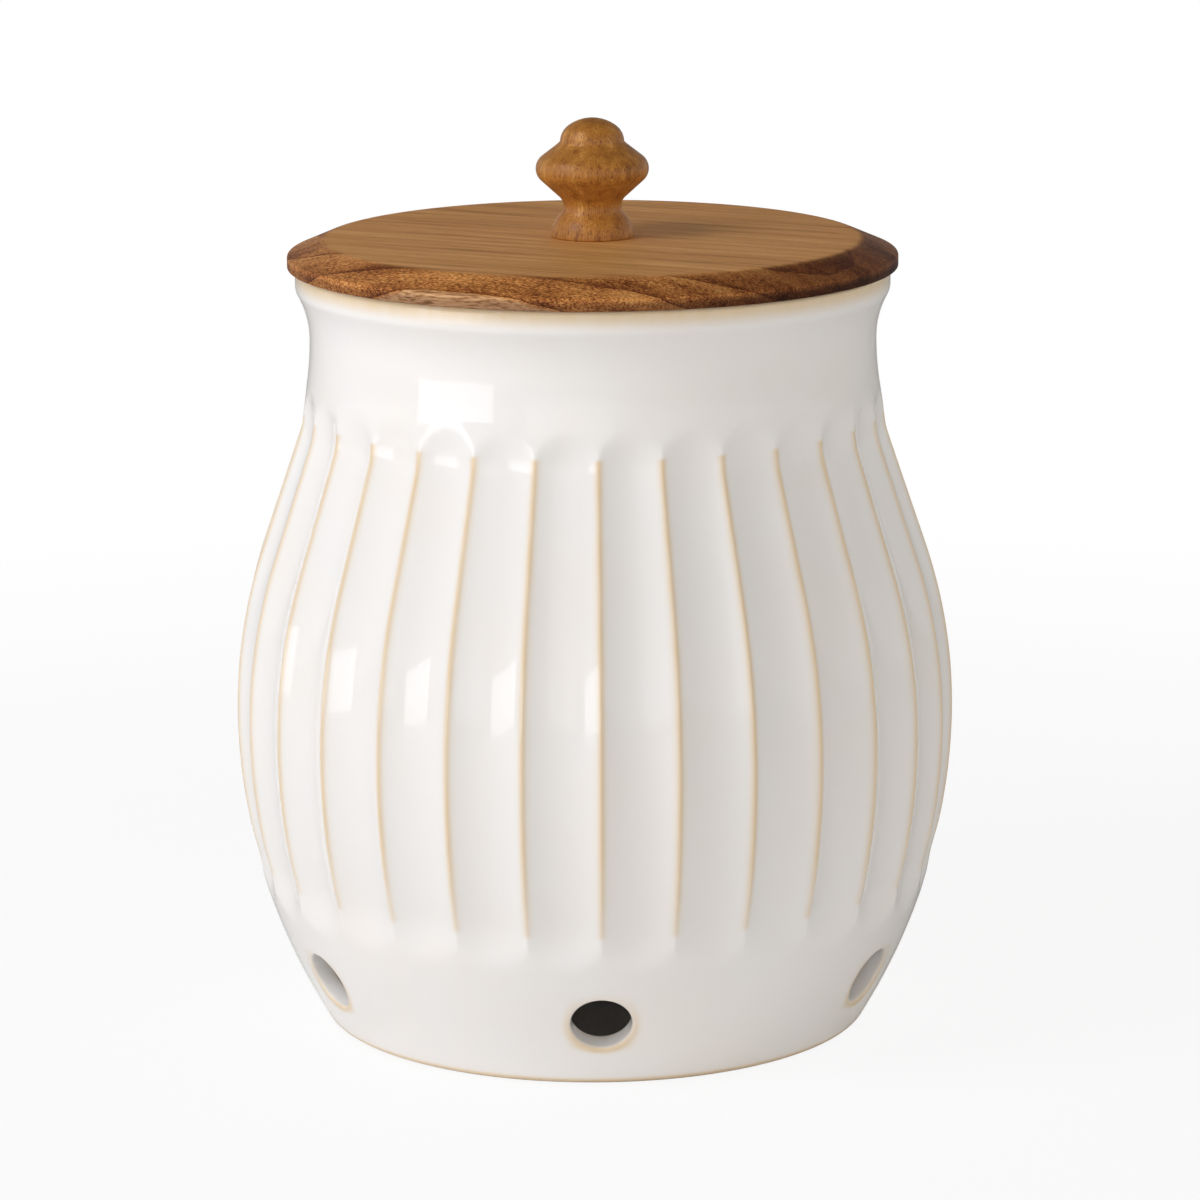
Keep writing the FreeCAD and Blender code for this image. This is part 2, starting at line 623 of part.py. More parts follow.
def build_seal_ring():
    """The soft ring in the plug's groove, with two lips that reach for the mouth's wall."""
    body = new_body("seal_ring")
    body.setExpression("Placement.Base.z", "sizes.jar_height - sizes.seal_drop")
    sketch = new_sketch(body, "seal_outline")
    slack, lip = size("seal_slack"), size("lip_thickness")
    root = size("mouth_radius") - size("plug_clearance") - size("seal_depth") + slack
    web = size("mouth_radius") - size("plug_clearance") + size("lip_web")
    tip = size("mouth_radius") - size("seal_gap")
    low, high = slack, size("seal_height") - slack
    outline = Outline(sketch, (root, low))
    low_face = outline.line((tip - lip / 2, low))
    low_tip = outline.arc((tip - lip / 2, low + lip / 2), (tip - lip / 2, low + lip), 1)
    low_back = outline.line((web, low + lip), smooth=True)
    middle = outline.line((web, high - lip))
    high_back = outline.line((tip - lip / 2, high - lip))
    high_tip = outline.arc((tip - lip / 2, high - lip / 2), (tip - lip / 2, high), 1)
    high_face = outline.line((root, high), smooth=True)
    back = outline.line((root, low))
    outline.close()
    mouth = "sizes.mouth_radius"
    outline.level(low_face, low_back, high_back, high_face)
    outline.upright(middle, back)
    outline.end_y(low_face, "sizes.seal_slack")
    outline.end_x(low_face, f"{mouth} - sizes.seal_gap - sizes.lip_thickness / 2")
    outline.radius(low_tip, "sizes.lip_thickness / 2")
    outline.end_x(low_back, f"{mouth} - sizes.plug_clearance + sizes.lip_web")
    outline.end_y(middle, "sizes.seal_height - sizes.seal_slack - sizes.lip_thickness")
    outline.end_x(high_back, f"{mouth} - sizes.seal_gap - sizes.lip_thickness / 2")
    outline.radius(high_tip, "sizes.lip_thickness / 2")
    outline.end_x(high_face, f"{mouth} - sizes.plug_clearance - sizes.seal_depth"
                             " + sizes.seal_slack")
    revolve(body, "PartDesign::Revolution", "seal_moulded", sketch)
    return body


def tangent_across(first, first_radius, second, second_radius):
    """Where a line touches two circles that lie on opposite sides of it, the first on its right.

    The line runs from the first to the second. A circle with a radius of 0 is a point, and one
    with a negative radius lies on the line's other side.
    """
    dx, dy = second[0] - first[0], second[1] - first[1]
    span = math.hypot(dx, dy)
    heading = math.atan2(dy, dx) - math.asin((first_radius + second_radius) / span)
    side = (-math.sin(heading), math.cos(heading))
    start = (first[0] + first_radius * side[0], first[1] + first_radius * side[1])
    end = (second[0] - second_radius * side[0], second[1] - second_radius * side[1])
    return start, end


def build_knob():
    """The turned knob: a flared foot, a neck, a wide belly and a dome, with a pilot hole."""
    body = new_body("knob")
    body.setExpression("Placement.Base.z", "sizes.jar_height + sizes.lid_thickness")
    sketch = new_sketch(body, "knob_outline")
    hole = size("screw_radius") + size("screw_slack")
    depth = size("screw_length") + size("screw_sink") + size("pilot_spare")
    depth -= size("plug_thickness") + size("lid_thickness")
    foot_arc, neck_arc = size("knob_foot_arc"), size("knob_neck_arc")
    belly_arc, side_arc = size("knob_belly_arc"), size("dome_side_arc")
    top = size("knob_height")
    foot_centre = (size("knob_foot_radius") - foot_arc, 0.0)
    neck_x = size("knob_neck_radius") + neck_arc
    neck_rise = math.sqrt((foot_arc + neck_arc)**2 - (neck_x - foot_centre[0])**2)
    neck_centre = (neck_x, neck_rise)
    belly_centre = (size("knob_belly_radius") - belly_arc, size("knob_belly_height"))
    crown = (0.0, top - size("crown_arc"))
    side_x = size("dome_radius") - side_arc
    side_rise = math.sqrt((size("crown_arc") - side_arc)**2 - side_x**2)
    side_centre = (side_x, crown[1] + side_rise)
    crease = (size("dome_radius"), side_centre[1])
    share = foot_arc / (foot_arc + neck_arc)
    foot_end = (foot_centre[0] + (neck_x - foot_centre[0]) * share, neck_rise * share)
    crown_start = from_centre(crown, size("crown_arc"), math.atan2(side_rise, side_x))
    belly_start, neck_end = tangent_across(belly_centre, belly_arc, neck_centre, neck_arc)
    _, belly_end = tangent_across(crease, 0.0, belly_centre, -belly_arc)

    outline = Outline(sketch, (hole, 0.0))
    under = outline.line((size("knob_foot_radius"), 0.0))
    foot = outline.arc(foot_centre, foot_end, 1, smooth=False)
    neck = outline.arc(neck_centre, neck_end, -1)
    flank = outline.line(belly_start, smooth=True)
    belly = outline.arc(belly_centre, belly_end, 1)
    slope = outline.line(crease, smooth=True)
    side = outline.arc(side_centre, crown_start, 1, smooth=False)
    cap = outline.arc(crown, (0.0, top), 1)
    axis = outline.line((0.0, depth))
    hole_end = outline.line((hole, depth))
    bore = outline.line((hole, 0.0))
    outline.close()
    outline.level(under, hole_end)
    outline.upright(bore)
    outline.on_base(under)
    outline.end_x(under, "sizes.knob_foot_radius")
    outline.centre_on_base(foot)
    outline.radius(foot, "sizes.knob_foot_arc")
    outline.radius(neck, "sizes.knob_neck_arc")
    outline.centre_x(neck, "sizes.knob_neck_radius + sizes.knob_neck_arc")
    outline.radius(belly, "sizes.knob_belly_arc")
    outline.centre_x(belly, "sizes.knob_belly_radius - sizes.knob_belly_arc")
    outline.centre_y(belly, "sizes.knob_belly_height")
    outline.radius(side, "sizes.dome_side_arc")
    outline.end_x(slope, "sizes.dome_radius")
    outline.centre_level_with_start(side)
    outline.radius(cap, "sizes.crown_arc")
    outline.centre_on_axis(cap)
    outline.on_axis(cap)
    outline.end_y(cap, "sizes.knob_height")
    outline.on_axis(axis)
    outline.end_y(axis, "sizes.screw_length + sizes.screw_sink + sizes.pilot_spare"
                        " - sizes.plug_thickness - sizes.lid_thickness")
    outline.end_x(hole_end, "sizes.screw_radius + sizes.screw_slack")
    revolve(body, "PartDesign::Revolution", "knob_turned", sketch)
    return body


def build_knob_screw():
    """The countersunk screw, head down, with a cross recess in its head."""
    body = new_body("knob_screw")
    body.setExpression("Placement.Base.z",
                       "sizes.jar_height - sizes.plug_thickness + sizes.screw_sink")
    sketch = new_sketch(body, "screw_outline")
    head, shank = size("screw_head_radius"), size("screw_radius")
    rim, length, tip = size("screw_head_rim"), size("screw_length"), size("screw_tip")
    outline = Outline(sketch, (0.0, 0.0))
    face = outline.line((head, 0.0))
    edge = outline.line((head, rim))
    cone = outline.line((shank, rim + head - shank))
    side = outline.line((shank, length - tip))
    point = outline.line((0.0, length))
    axis = outline.line((0.0, 0.0))
    outline.close()
    outline.level(face)
    outline.upright(edge, side, axis)
    outline.on_base(face)
    outline.end_x(face, "sizes.screw_head_radius")
    outline.end_y(edge, "sizes.screw_head_rim")
    outline.end_x(cone, "sizes.screw_radius")
    outline.end_y(cone, "sizes.screw_head_rim + sizes.screw_head_radius - sizes.screw_radius")
    outline.end_y(side, "sizes.screw_length - sizes.screw_tip")
    outline.on_axis(point)
    outline.end_y(point, "sizes.screw_length")
    revolve(body, "PartDesign::Revolution", "screw_turned", sketch)

    for name, turn in (("slot_across", 0), ("slot_along", 90)):
        slot = body.newObject("PartDesign::SubtractiveBox", name)
        slot.AttachmentSupport = [(plane_of(body, "XY_Plane"), "")]
        slot.MapMode = "FlatFace"
        slot.AttachmentOffset = FreeCAD.Placement(Vector(), FreeCAD.Rotation(UP, turn))
        slot.setExpression("Length", "sizes.recess_span")
        slot.setExpression("Width", "sizes.recess_width")
        slot.setExpression("Height", "sizes.recess_depth")
        long_axis, short_axis = ("x", "y") if turn == 0 else ("y", "x")
        sign = "-" if turn == 0 else ""
        slot.setExpression(f"AttachmentOffset.Base.{long_axis}", "-sizes.recess_span / 2")
        slot.setExpression(f"AttachmentOffset.Base.{short_axis}", f"{sign}sizes.recess_width / 2")
        body.Tip = slot
        doc.recompute()
    return body


def main():
    """Build every sub-part, check them all, and only then write their files."""
    parts = [build_crock(), build_lid_board(), build_lid_plug(), build_seal_ring(),
             build_knob(), build_knob_screw()]
    doc.recompute()
    for thing in doc.Objects:
        if "Invalid" in thing.State or "Error" in thing.State:
            raise RuntimeError(f"{thing.Name} failed: {thing.State}")
    for part in parts:
        if part.Shape.isNull() or not part.Shape.isValid() or len(part.Shape.Solids) != 1:
            raise RuntimeError(f"{part.Label} isn't one valid solid")
    os.makedirs("parts", exist_ok=True)
    for part in parts:
        part.Shape.exportStep(f"parts/{part.Label}.step")
        box = part.Shape.BoundBox
        print(f"{part.Label}: {part.Shape.Volume / 1000:.2f} cm3, "
              f"x {box.XMin:.2f} to {box.XMax:.2f}, y {box.YMin:.2f} to {box.YMax:.2f}, "
              f"z {box.ZMin:.2f} to {box.ZMax:.2f}")


main()
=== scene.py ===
"""The potato keeper's looks: a glazed, fluted crock with a turned wooden lid, in a plain studio.

The frame is the CAD model's: metres, +Z up, the front at -Y. The turned and thrown shapes are
drawn here in millimetres with the part's own sizes, and go into meshes in metres. The jar's mesh
adds what the glaze does: soft ridges between the flutes, and soft arches at their ends.
"""

import math

import bpy
import numpy as np
from mathutils import Matrix, Vector


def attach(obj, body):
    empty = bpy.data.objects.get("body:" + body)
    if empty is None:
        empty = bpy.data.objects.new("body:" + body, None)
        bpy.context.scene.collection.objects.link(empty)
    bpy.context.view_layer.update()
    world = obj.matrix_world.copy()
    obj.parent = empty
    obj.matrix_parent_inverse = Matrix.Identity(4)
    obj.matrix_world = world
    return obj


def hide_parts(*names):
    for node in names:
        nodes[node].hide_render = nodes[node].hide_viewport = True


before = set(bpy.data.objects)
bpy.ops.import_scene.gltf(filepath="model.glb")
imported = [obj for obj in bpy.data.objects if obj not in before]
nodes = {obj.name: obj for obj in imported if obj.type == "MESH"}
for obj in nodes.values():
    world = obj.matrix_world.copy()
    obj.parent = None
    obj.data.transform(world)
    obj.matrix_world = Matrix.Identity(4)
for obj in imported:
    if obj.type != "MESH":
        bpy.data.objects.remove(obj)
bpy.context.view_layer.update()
MM = 0.001

# The jar's outline, in millimetres and radians.
JAR_HEIGHT = 250.0
BELLY_RADIUS, BELLY_HEIGHT = 118.4, 103.7
LOWER_ARC, UPPER_ARC = 199.0, 181.0
LEAN = math.radians(18.7)
WAIST_RADIUS, NECK_ARC, FLARE_ARC = 92.3, 99.6, 30.4
RIM_RADIUS, RIM_TURN, RIM_ROUND = 96.7, 6.0, 2.0
MOUTH_RADIUS, MOUTH_TURN = 89.9, 6.0
WALL = 6.6
FOOT_ROUND, FOOT_WIDTH, FOOT_RECESS = 3.5, 7.0, 2.5
FLOOR_HEIGHT, FLOOR_ROUND = 8.5, 14.0
LOWER_CENTRE = (BELLY_RADIUS - LOWER_ARC, BELLY_HEIGHT)
UPPER_CENTRE = (BELLY_RADIUS - UPPER_ARC, BELLY_HEIGHT)

# The flutes and the vent holes.
FLUTES = 30
FLUTE_BALL, FLUTE_DEPTH = 26.0, 3.9
FLUTE_EASE, FLUTE_FLATTEN = math.radians(0.7), 8.0
FLUTE_FOOT, FLUTE_HEAD = 59.2, 196.0
FLUTE_SPAN = (36.0, 222.0)
VENTS, VENT_RADIUS, VENT_HEIGHT, VENT_ROUND = 6, 9.7, 23.0, 1.1
FRONT = -math.pi / 2

# How the glaze rounds the ridges and the flutes' ends, and the heights where the rounding changes.
RIDGE_SOFT = 0.5
HEAD_SOFT, TAIL_SOFT, MIDDLE_SOFT = 1.1, 2.6, 0.25
HEAD_FROM, HEAD_TO, TAIL_TO, TAIL_FROM = 180, 206, 50, 72

# Where the glaze is thin and tan: on the ridges (paler low down), the rim, the foot's edge and the
# vent holes' edges, where it is thinner on the lower side and thickens through the rounding. Under
# the rim the tan band reaches several millimetres down, as painted shade and a painted reflection
# of the lid.
RIDGE_LINE, RIDGE_START, PALE_BELOW, FULL_ABOVE = 1.1, 0.15, 50, 85
RIM_TAN_AND_PAINTED_SHADE, RIM_FULL, INSIDE_TAN = 7.0, 1.5, (0.6, 1.4)
FOOT_TAN, CLAY_EDGE = (1.3, 0.8), (0.5, 1.1)
VENT_HALO, VENT_TAN, VENT_INSIDE_THIN = 0.11, (0.58, 0.42), 0.2
VENT_EDGE_THIN = (1.0, 1.0, 1.0, 0.8, 0.45, 0.2, 0.05)

# How finely the jar is meshed: steps across half a flute, rows beside each vent hole, the heights
# where the lip's closer rows begin, the rows' spacings, the rings of the underside and the floor,
# the foot ring's line (out from the recess's edge, and height) with the step to its outer corner,
# and shares of the way to a vent hole's edge, through its bore and away from it.
HALF_FLUTE = (0.0, 0.03, 0.07, 0.13, 0.23, 0.38, 0.57, 0.78)
PER_FLUTE = 2 * len(HALF_FLUTE)
AROUND = FLUTES * PER_FLUTE
BAND_ROWS = 30
OUTER_BAND, INNER_BAND = (5.5, 42.5), (10.0, 43.0)
OUTER_LIP, INNER_LIP = 242.0, 240.0
LOW_STEP, SIDE_STEP, LIP_STEP, INNER_STEP, FLOOR_STEP = 0.6, 1.2, 0.5, 3.0, 1.0
UNDER_RINGS, FLOOR_RINGS = (6.0, 20.0, 40.0, 60.0), (70.0, 55.0, 40.0, 22.0, 6.0)
FOOT_LINE = ((-3.1, 2.5), (-2.5, 2.3), (-0.4, 0.4), (0.0, 0.05), (0.5, 0.0))
FOOT_CORNER = 0.8
TO_VENT = (0.16, 0.32, 0.47, 0.6, 0.71, 0.8, 0.87, 0.93, 0.97)
ALONG_BORE, FROM_VENT = (0.3, 0.6), (0.1, 0.25, 0.45, 0.7)

# Lengths that differ by less than this are the same, and how surfaces are searched for: the span
# about the wall, the number of halvings, and the number and share of steps along a bore.
SAME = 1e-6
SEARCH_IN, SEARCH_OUT, HALVINGS = 8.0, 6.0, 26
BORE_TRIES, BORE_SHARE, BORE_NEAR = 30, 0.9, 0.2


def from_centre(centre, radius, angle):
    """The point of a circle in the (radius, height) plane."""
    return (centre[0] + radius * math.cos(angle), centre[1] + radius * math.sin(angle))


def arc(centre, radius, start, end, step=0.25):
    """Points along an arc in the (radius, height) plane."""
    count = max(2, int(abs(end - start) * radius / step))
    return [from_centre(centre, radius, a) for a in np.linspace(start, end, count + 1)]


def jar_side(base, corner, inset, rim, turn):
    """The jar's side from its base to its rim, outside (no inset) or inside (the wall's)."""
    lower, upper = LOWER_ARC - inset, UPPER_ARC - inset
    neck, flare = NECK_ARC + inset, FLARE_ARC + inset
    drop = BELLY_HEIGHT - base - corner
    corner_centre = (LOWER_CENTRE[0] + math.sqrt((lower - corner) ** 2 - drop**2), base + corner)
    meet = math.atan2(-drop, corner_centre[0] - LOWER_CENTRE[0])
    shoulder = from_centre(UPPER_CENTRE, UPPER_ARC, LEAN)
    rise = (shoulder[0] - WAIST_RADIUS - NECK_ARC * (1 - math.cos(LEAN))) / math.tan(LEAN)
    waist = shoulder[1] + rise + NECK_ARC * math.sin(LEAN)
    swing = math.acos(1 - (rim - WAIST_RADIUS + inset) / (flare + turn))
    turn_centre = (rim - turn, waist + (flare + turn) * math.sin(swing))
    points = arc(corner_centre, corner, -math.pi / 2, meet)
    points += arc(LOWER_CENTRE, lower, meet, 0)
    points += arc(UPPER_CENTRE, upper, 0, LEAN)
    points += arc((WAIST_RADIUS + NECK_ARC, waist), neck, math.pi + LEAN, math.pi)
    points += arc((WAIST_RADIUS + FLARE_ARC, waist), flare, math.pi, math.pi - swing)
    points += arc(turn_centre, turn, -swing, 0)
    return points


class Profile:
    """A line in the (radius, height) plane, measured along its length."""

    def __init__(self, points):
        points = np.array(points)
        steps = np.hypot(*np.diff(points, axis=0).T)
        keep = np.concatenate([[True], steps > SAME])
        self.points = points[keep]
        self.along = np.concatenate([[0], np.cumsum(np.hypot(*np.diff(self.points, axis=0).T))])
        self.length = self.along[-1]

    def radius(self, s):
        return np.interp(s, self.along, self.points[:, 0])

    def height(self, s):
        return np.interp(s, self.along, self.points[:, 1])

    def at_height(self, z):
        """The place along a line that rises all the way."""
        return np.interp(z, self.points[:, 1], self.along)

    def radius_at(self, z):
        return np.interp(z, self.points[:, 1], self.points[:, 0])


OUTSIDE = Profile(jar_side(0.0, FOOT_ROUND, 0.0, RIM_RADIUS, RIM_TURN)
                  + arc((RIM_RADIUS - RIM_ROUND, JAR_HEIGHT - RIM_ROUND), RIM_ROUND, 0,
                        math.pi / 2, 0.1))
INSIDE = Profile(jar_side(FLOOR_HEIGHT, FLOOR_ROUND, WALL, MOUTH_RADIUS, MOUTH_TURN)
                 + arc((MOUTH_RADIUS + RIM_ROUND, JAR_HEIGHT - RIM_ROUND), RIM_ROUND, math.pi,
                       math.pi / 2, 0.1))


def soft_min(a, b, soft):
    """The lower of two surfaces, with a rounded edge where they meet."""
    near = np.clip(1 - np.abs(a - b) / soft, 0, 1)
    return np.minimum(a, b) - near**2 * soft / 4


def smooth_step(low, high, value):
    t = np.clip((value - low) / (high - low), 0, 1)
    return t * t * (3 - 2 * t)


def distance_to_path(x, z):
    """Distance in a flute's own plane from the path that its section follows."""
    stand_off = FLUTE_BALL - FLUTE_DEPTH
    start = BELLY_RADIUS + stand_off
    low_angle = math.asin((BELLY_HEIGHT - FLUTE_FOOT) / LOWER_ARC)
    high_angle = LEAN - FLUTE_EASE
    nearest = None
    for radius, first, last in ((LOWER_ARC + stand_off + FLUTE_FLATTEN, -low_angle, 0),
                                (UPPER_ARC + stand_off, 0, high_angle)):
        cx = start - radius
        angle = np.clip(np.arctan2(z - BELLY_HEIGHT, x - cx), first, last)
        gap = np.hypot(x - cx - radius * np.cos(angle), z - BELLY_HEIGHT - radius * np.sin(angle))
        nearest = gap if nearest is None else np.minimum(nearest, gap)
    radius = UPPER_ARC + stand_off
    px, pz = from_centre((start - radius, BELLY_HEIGHT), radius, high_angle)
    ux, uz = -math.sin(high_angle), math.cos(high_angle)
    straight = (FLUTE_HEAD - BELLY_HEIGHT - UPPER_ARC * math.sin(high_angle)) / math.cos(high_angle)
    t = np.clip((x - px) * ux + (z - pz) * uz, 0, straight)
    return np.minimum(nearest, np.hypot(x - px - t * ux, z - pz - t * uz))


def flute_radius(turn, z, wall):
    """How far out a flute's surface lies, at an angle from its middle and a height.

    It is found by halving the span in which it must lie.
    """
    low, high = wall - SEARCH_IN, wall + SEARCH_OUT
    for _ in range(HALVINGS):
        middle = (low + high) / 2
        gap = np.hypot(middle * np.sin(turn), distance_to_path(middle * np.cos(turn), z))
        outside = gap > FLUTE_BALL
        low, high = np.where(outside, middle, low), np.where(outside, high, middle)
    return (low + high) / 2


def jar_outside(theta, s):
    """Points of the fluted outside, and how thin the glaze is there."""
    wall, z = OUTSIDE.radius(s), OUTSIDE.height(s)
    pitch = 2 * math.pi / FLUTES
    turn = np.mod(theta - FRONT, pitch) - pitch / 2
    fluted = (z > FLUTE_SPAN[0]) & (z < FLUTE_SPAN[1])
    radius, ridge = wall.copy(), np.zeros_like(wall)
    if fluted.any():
        t, h, w = turn[fluted], z[fluted], wall[fluted]
        near = flute_radius(t, h, w)
        far = flute_radius(pitch - np.abs(t), h, w)
        crest = flute_radius(np.full_like(t, pitch / 2), h, w)
        cut = soft_min(near, far, RIDGE_SOFT)
        soft = MIDDLE_SOFT + (HEAD_SOFT - MIDDLE_SOFT) * smooth_step(HEAD_FROM, HEAD_TO, h)
        soft += (TAIL_SOFT - MIDDLE_SOFT) * (1 - smooth_step(TAIL_TO, TAIL_FROM, h))
        radius[fluted] = soft_min(cut, w, soft)
        across = (pitch / 2 - np.abs(t)) * w
        line = np.exp(-(across / RIDGE_LINE) ** 2)
        line *= smooth_step(-RIDGE_START, RIDGE_START, w - crest)
        ridge[fluted] = line * (0.5 + 0.5 * smooth_step(PALE_BELOW, FULL_ABOVE, h))
    return np.stack([radius * np.cos(theta), radius * np.sin(theta), z], -1), ridge


def jar_inside(theta, s):
    radius, z = INSIDE.radius(s), INSIDE.height(s)
    return np.stack([radius * np.cos(theta), radius * np.sin(theta), z], -1), np.zeros_like(z)


def steps(start, end, spacing):
    """Places from start up to, but without, end."""
    return list(np.linspace(start, end, max(2, round(abs(end - start) / spacing) + 1))[:-1])


def angles_around():
    """The directions of the jar's columns: closer together at the ridges than between them."""
    pitch = 2 * math.pi / FLUTES
    half = np.array(HALF_FLUTE) * pitch / 2
    one = np.concatenate([half, [pitch / 2], pitch - half[:0:-1]])
    return np.concatenate([FRONT + k * pitch + one for k in range(FLUTES)])


class RingMesh:
    """Collects the points, faces and glaze values of a mesh that is made of rings."""

    def __init__(self):
        self.points, self.thin, self.clay, self.faces = [], [], [], []
        self.count = 0

    def add(self, points, thin=0.0, clay=0.0):
        first = self.count
        n = len(points)
        self.points.append(np.asarray(points))
        self.thin.append(np.broadcast_to(thin, n))
        self.clay.append(np.broadcast_to(clay, n))
        self.count += n
        return np.arange(first, first + n)

    def strip(self, a, b, wanted=None):
        """Faces between two closed rings."""
        a2, b2 = np.roll(a, -1), np.roll(b, -1)
        for i in range(len(a)):
            if wanted is None or wanted[i]:
                self.faces.append((a[i], a2[i], b2[i], b[i]))


def ring(radius, z, theta):
    """A level ring of points."""
    return np.stack([radius * np.cos(theta), radius * np.sin(theta), np.full_like(theta, z)], -1)


def vent_frame(number):
    """A vent hole's middle on the outside, and its outward, sideways and upward directions."""
    tilt = math.asin((BELLY_HEIGHT - VENT_HEIGHT) / LOWER_ARC)
    radius, z = from_centre(LOWER_CENTRE, LOWER_ARC, -tilt)
    turn = FRONT + number * 2 * math.pi / VENTS
    c, s = math.cos(turn), math.sin(turn)
    out = np.array([c * math.cos(tilt), s * math.cos(tilt), -math.sin(tilt)])
    side = np.array([-s, c, 0.0])
    return np.array([c * radius, s * radius, z]), out, side, np.cross(out, side), turn


def place_on(profile, points, turn):
    """The directions of points, near a turn, and their places along a profile."""
    bearing = np.arctan2(points[:, 1], points[:, 0])
    bearing = turn + (bearing - turn + math.pi) % (2 * math.pi) - math.pi
    return bearing, profile.at_height(points[:, 2])


def meet_wall(profile, start, out, depth):
    """How far along the bore each line meets the jar's wall."""
    t = np.full(len(start), -depth)
    for _ in range(BORE_TRIES):
        p = start + t[:, None] * out
        miss = profile.radius_at(p[:, 2]) - np.hypot(p[:, 0], p[:, 1])
        t = t + miss * BORE_SHARE
    return t


def edge_rings(profile, number, angles, depth, sign):
    """The rounded edge of a vent hole, from the wall's surface to the bore.

    sign is 1 for the outside, and -1 for the inside, which lies at the wall's depth.
    """
    middle, out, side, up, _ = vent_frame(number)
    around = np.cos(angles)[:, None] * side + np.sin(angles)[:, None] * up
    reach, near = VENT_RADIUS + VENT_ROUND, BORE_NEAR
    at = [meet_wall(profile, middle + (reach + d) * around, out, depth) for d in (-near, 0, near)]
    slope = (at[2] - at[0]) / (2 * near)
    root = np.sqrt(1 + slope**2)
    centre = at[1] - sign * VENT_ROUND * root
    lean = np.arctan(slope * sign)
    rings = []
    for f in np.linspace(0, 1, len(VENT_EDGE_THIN)):
        swing = (math.pi / 2 + lean) * (1 - f) + math.pi * f
        rho = reach + VENT_ROUND * np.cos(swing)
        rise = centre + sign * VENT_ROUND * np.sin(swing)
        rings.append(middle + rho[:, None] * around + rise[:, None] * out)
    return rings


